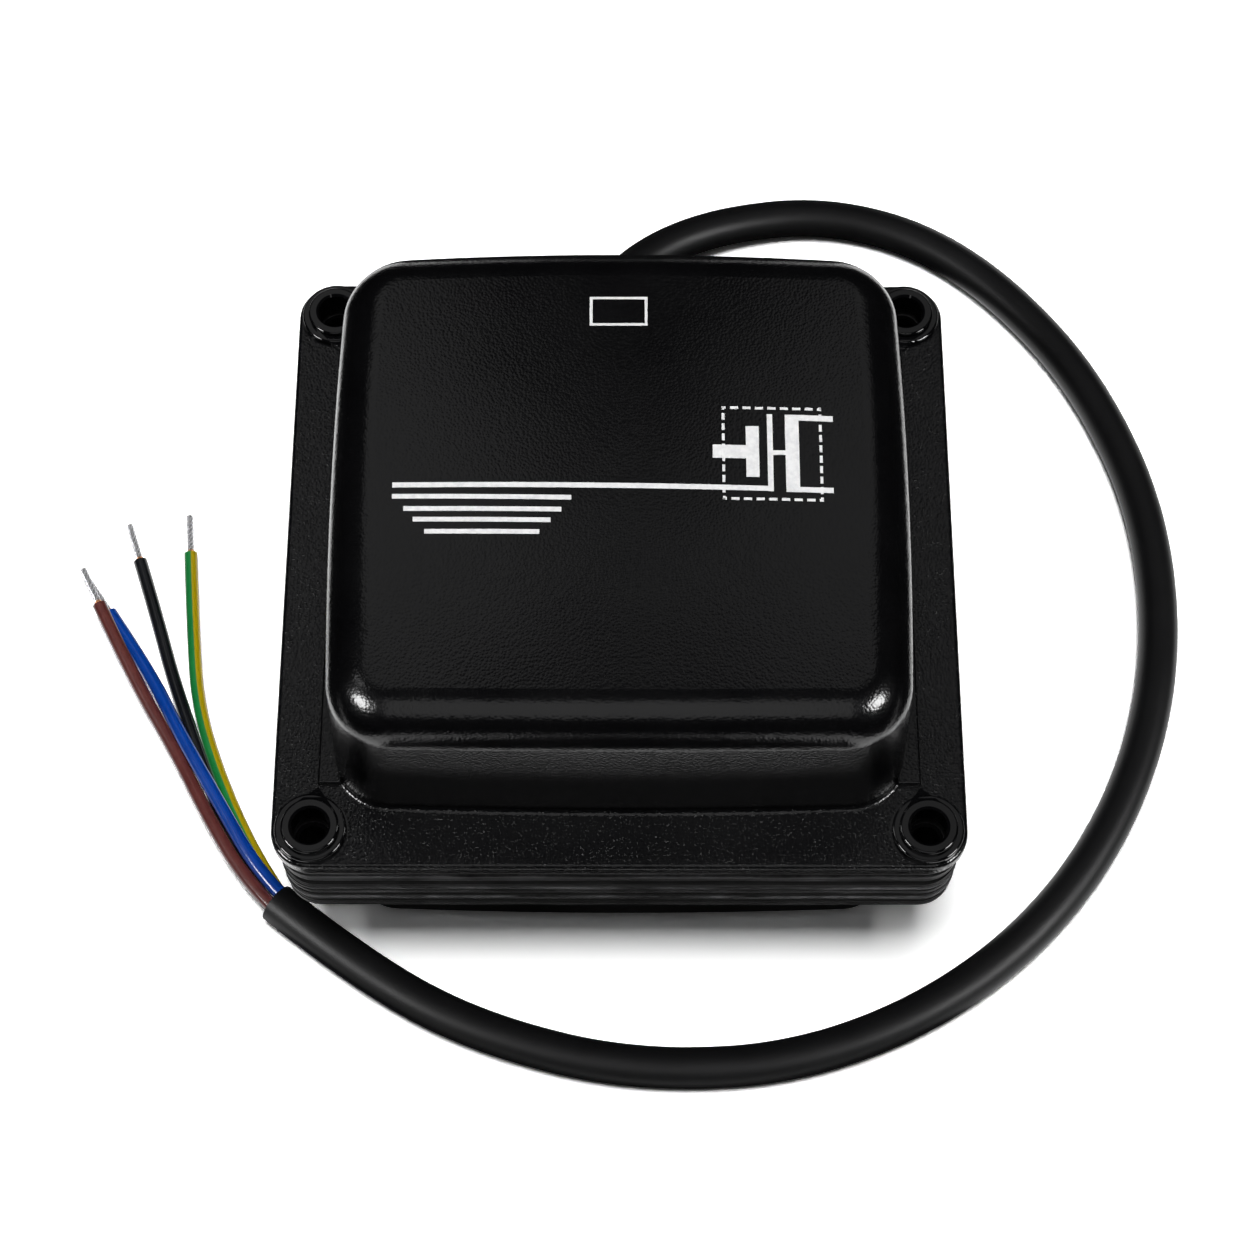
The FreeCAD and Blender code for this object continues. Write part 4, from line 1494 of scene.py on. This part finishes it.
@dataclass
class Studio:
    """The pale floor, the soft lamps, the surroundings and the camera."""

    image_size: float = 1254.0
    sensor: float = 36.0
    focal_px: float = 2811.979
    elevation_deg: float = 65.5314
    roll: float = 0.00136
    distance: float = 426.034 * MM
    nearest: float = 0.01
    farthest: float = 20.0
    aim: Point = (1.0923 * MM, -10.8395 * MM, 48.2 * MM)
    floor_half: float = 3.0
    floor_white: float = 1.6
    floor_lit: float = 0.85
    floor_mirrored: float = 0.01
    floor_roughness: float = 0.9
    lamps: tuple[SoftBox, ...] = (
        SoftBox("front_strip", (0.0, -0.65, 1.10), (0.0, 0.0, 0.05), 0.8, 0.85, 1.5, LampUse.GLEAM),
        SoftBox("corner_left", (-0.94, -0.46, 0.84), (0.0, 0.0, 0.07), 0.40, 0.40, 14.0, LampUse.GLEAM),
        SoftBox("corner_right", (0.94, -0.46, 0.84), (0.0, 0.0, 0.07), 0.40, 0.40, 14.0, LampUse.GLEAM),
        SoftBox("sky_left", (-0.36, 0.60, 1.18), (0.0, 0.0, 0.05), 0.5, 0.7, 0.50, LampUse.GLEAM),
        SoftBox("sky_right", (0.36, 0.60, 1.18), (0.0, 0.0, 0.05), 0.5, 0.7, 0.40, LampUse.GLEAM),
        SoftBox("wire_gleam", (-0.72, 0.10, 1.00), (-0.07, 0.0, 0.0), 0.12, 0.30, 0.30, LampUse.GLEAM),
        SoftBox("wide", (0.0, 0.0, 2.00), (0.0, 0.0, 0.0), 3.0, 3.0, 4.5, LampUse.SHADE),
        SoftBox("overhead", (0.0, -0.13, 1.25), (0.0, 0.0, 0.0), 0.36, 0.36, 15.0, LampUse.SHADE),
    )
    front_gleam: tuple[float, float, float] = (0.076, 0.086, 1.7)
    side_gleam: tuple[float, float, float] = (0.056, 0.110, 1.6)
    gleam_fade: float = 0.006

    def build(self) -> None:
        """Sets everything up."""
        self.build_floor()
        self.build_world()
        for lamp in self.lamps:
            lamp.build()
        self.build_camera()
        bpy.context.scene.view_settings.view_transform = "Standard"

    def build_floor(self) -> None:
        """A plain white floor that keeps the object's shadow."""
        half = self.floor_half
        corners = [(-half, -half, 0), (half, -half, 0), (half, half, 0), (-half, half, 0)]
        mesh = bpy.data.meshes.new("floor")
        mesh.from_pydata(corners, [], [(0, 1, 2, 3)])
        surface = Surface("pale_floor")
        surface.put("Roughness", self.floor_roughness)
        surface.put("Specular IOR Level", 0.0)
        rays = surface.add("ShaderNodeLightPath").outputs
        white, lit, mirrored = (
            (tone,) * 3 for tone in (self.floor_white, self.floor_lit, self.floor_mirrored))
        colour = surface.blend(rays["Is Glossy Ray"], lit, mirrored)
        surface.put("Base Color", surface.blend(rays["Is Camera Ray"], colour, white))
        surface.put("Emission Color", (1.0, 1.0, 1.0))
        surface.put("Emission Strength", surface.math("MULTIPLY", rays["Is Glossy Ray"], self.gleam(surface)))
        mesh.materials.append(surface.material)
        link_object("floor", mesh)

    def gleam(self, surface: Surface) -> Socket:
        """How bright the floor is in reflections: one strip in front and one on each side.

        Args:
            surface: the floor's material.

        Returns:
            The brightness at each place.
        """
        place = surface.split(surface.place)
        strips = []
        for across, (near, far, strength) in (
            (surface.math("MULTIPLY", place["Y"], -1.0), self.front_gleam),
            (surface.math("ABSOLUTE", place["X"]), self.side_gleam),
        ):
            inner = surface.span(across, near, near + self.gleam_fade, 0.0, strength)
            outer = surface.span(across, far, far + self.gleam_fade, 1.0, 0.0)
            strips.append(surface.math("MULTIPLY", inner, outer))
        return surface.math("MAXIMUM", *strips)

    def build_world(self) -> None:
        """White to the camera and black to everything else."""
        world = bpy.data.worlds.new("studio")
        bpy.context.scene.world = world
        world.use_nodes = True
        nodes = Nodes(world.node_tree)
        background = world.node_tree.nodes["Background"]
        path = nodes.add("ShaderNodeLightPath")
        nodes.feed(background.inputs["Strength"], path.outputs["Is Camera Ray"])
        nodes.feed(background.inputs["Color"], (1.0, 1.0, 1.0))

    def build_camera(self) -> None:
        """The camera at the photograph's angle and distance."""
        angle = math.radians(self.elevation_deg)
        data = bpy.data.cameras.new("camera")
        data.sensor_width = self.sensor
        data.lens = self.focal_px / self.image_size * self.sensor
        data.clip_start, data.clip_end = self.nearest, self.farthest
        camera = link_object("camera", data)
        camera.location = Vector(self.aim) + self.distance * Vector((0, -math.cos(angle), math.sin(angle)))
        turn = Matrix.Rotation(math.pi / 2 - angle, 3, "X") @ Matrix.Rotation(self.roll, 3, "Z")
        camera.rotation_euler = turn.to_euler()
        bpy.context.scene.camera = camera


def main() -> None:
    """Builds the sub-assemblies in order."""
    logging.basicConfig(level=logging.INFO, format="%(message)s")
    Studio().build()
    MainsLead().build()
    Covers().build()
    CorePlates().build()
    InnerParts().build()


if __name__ == "__main__":
    main()
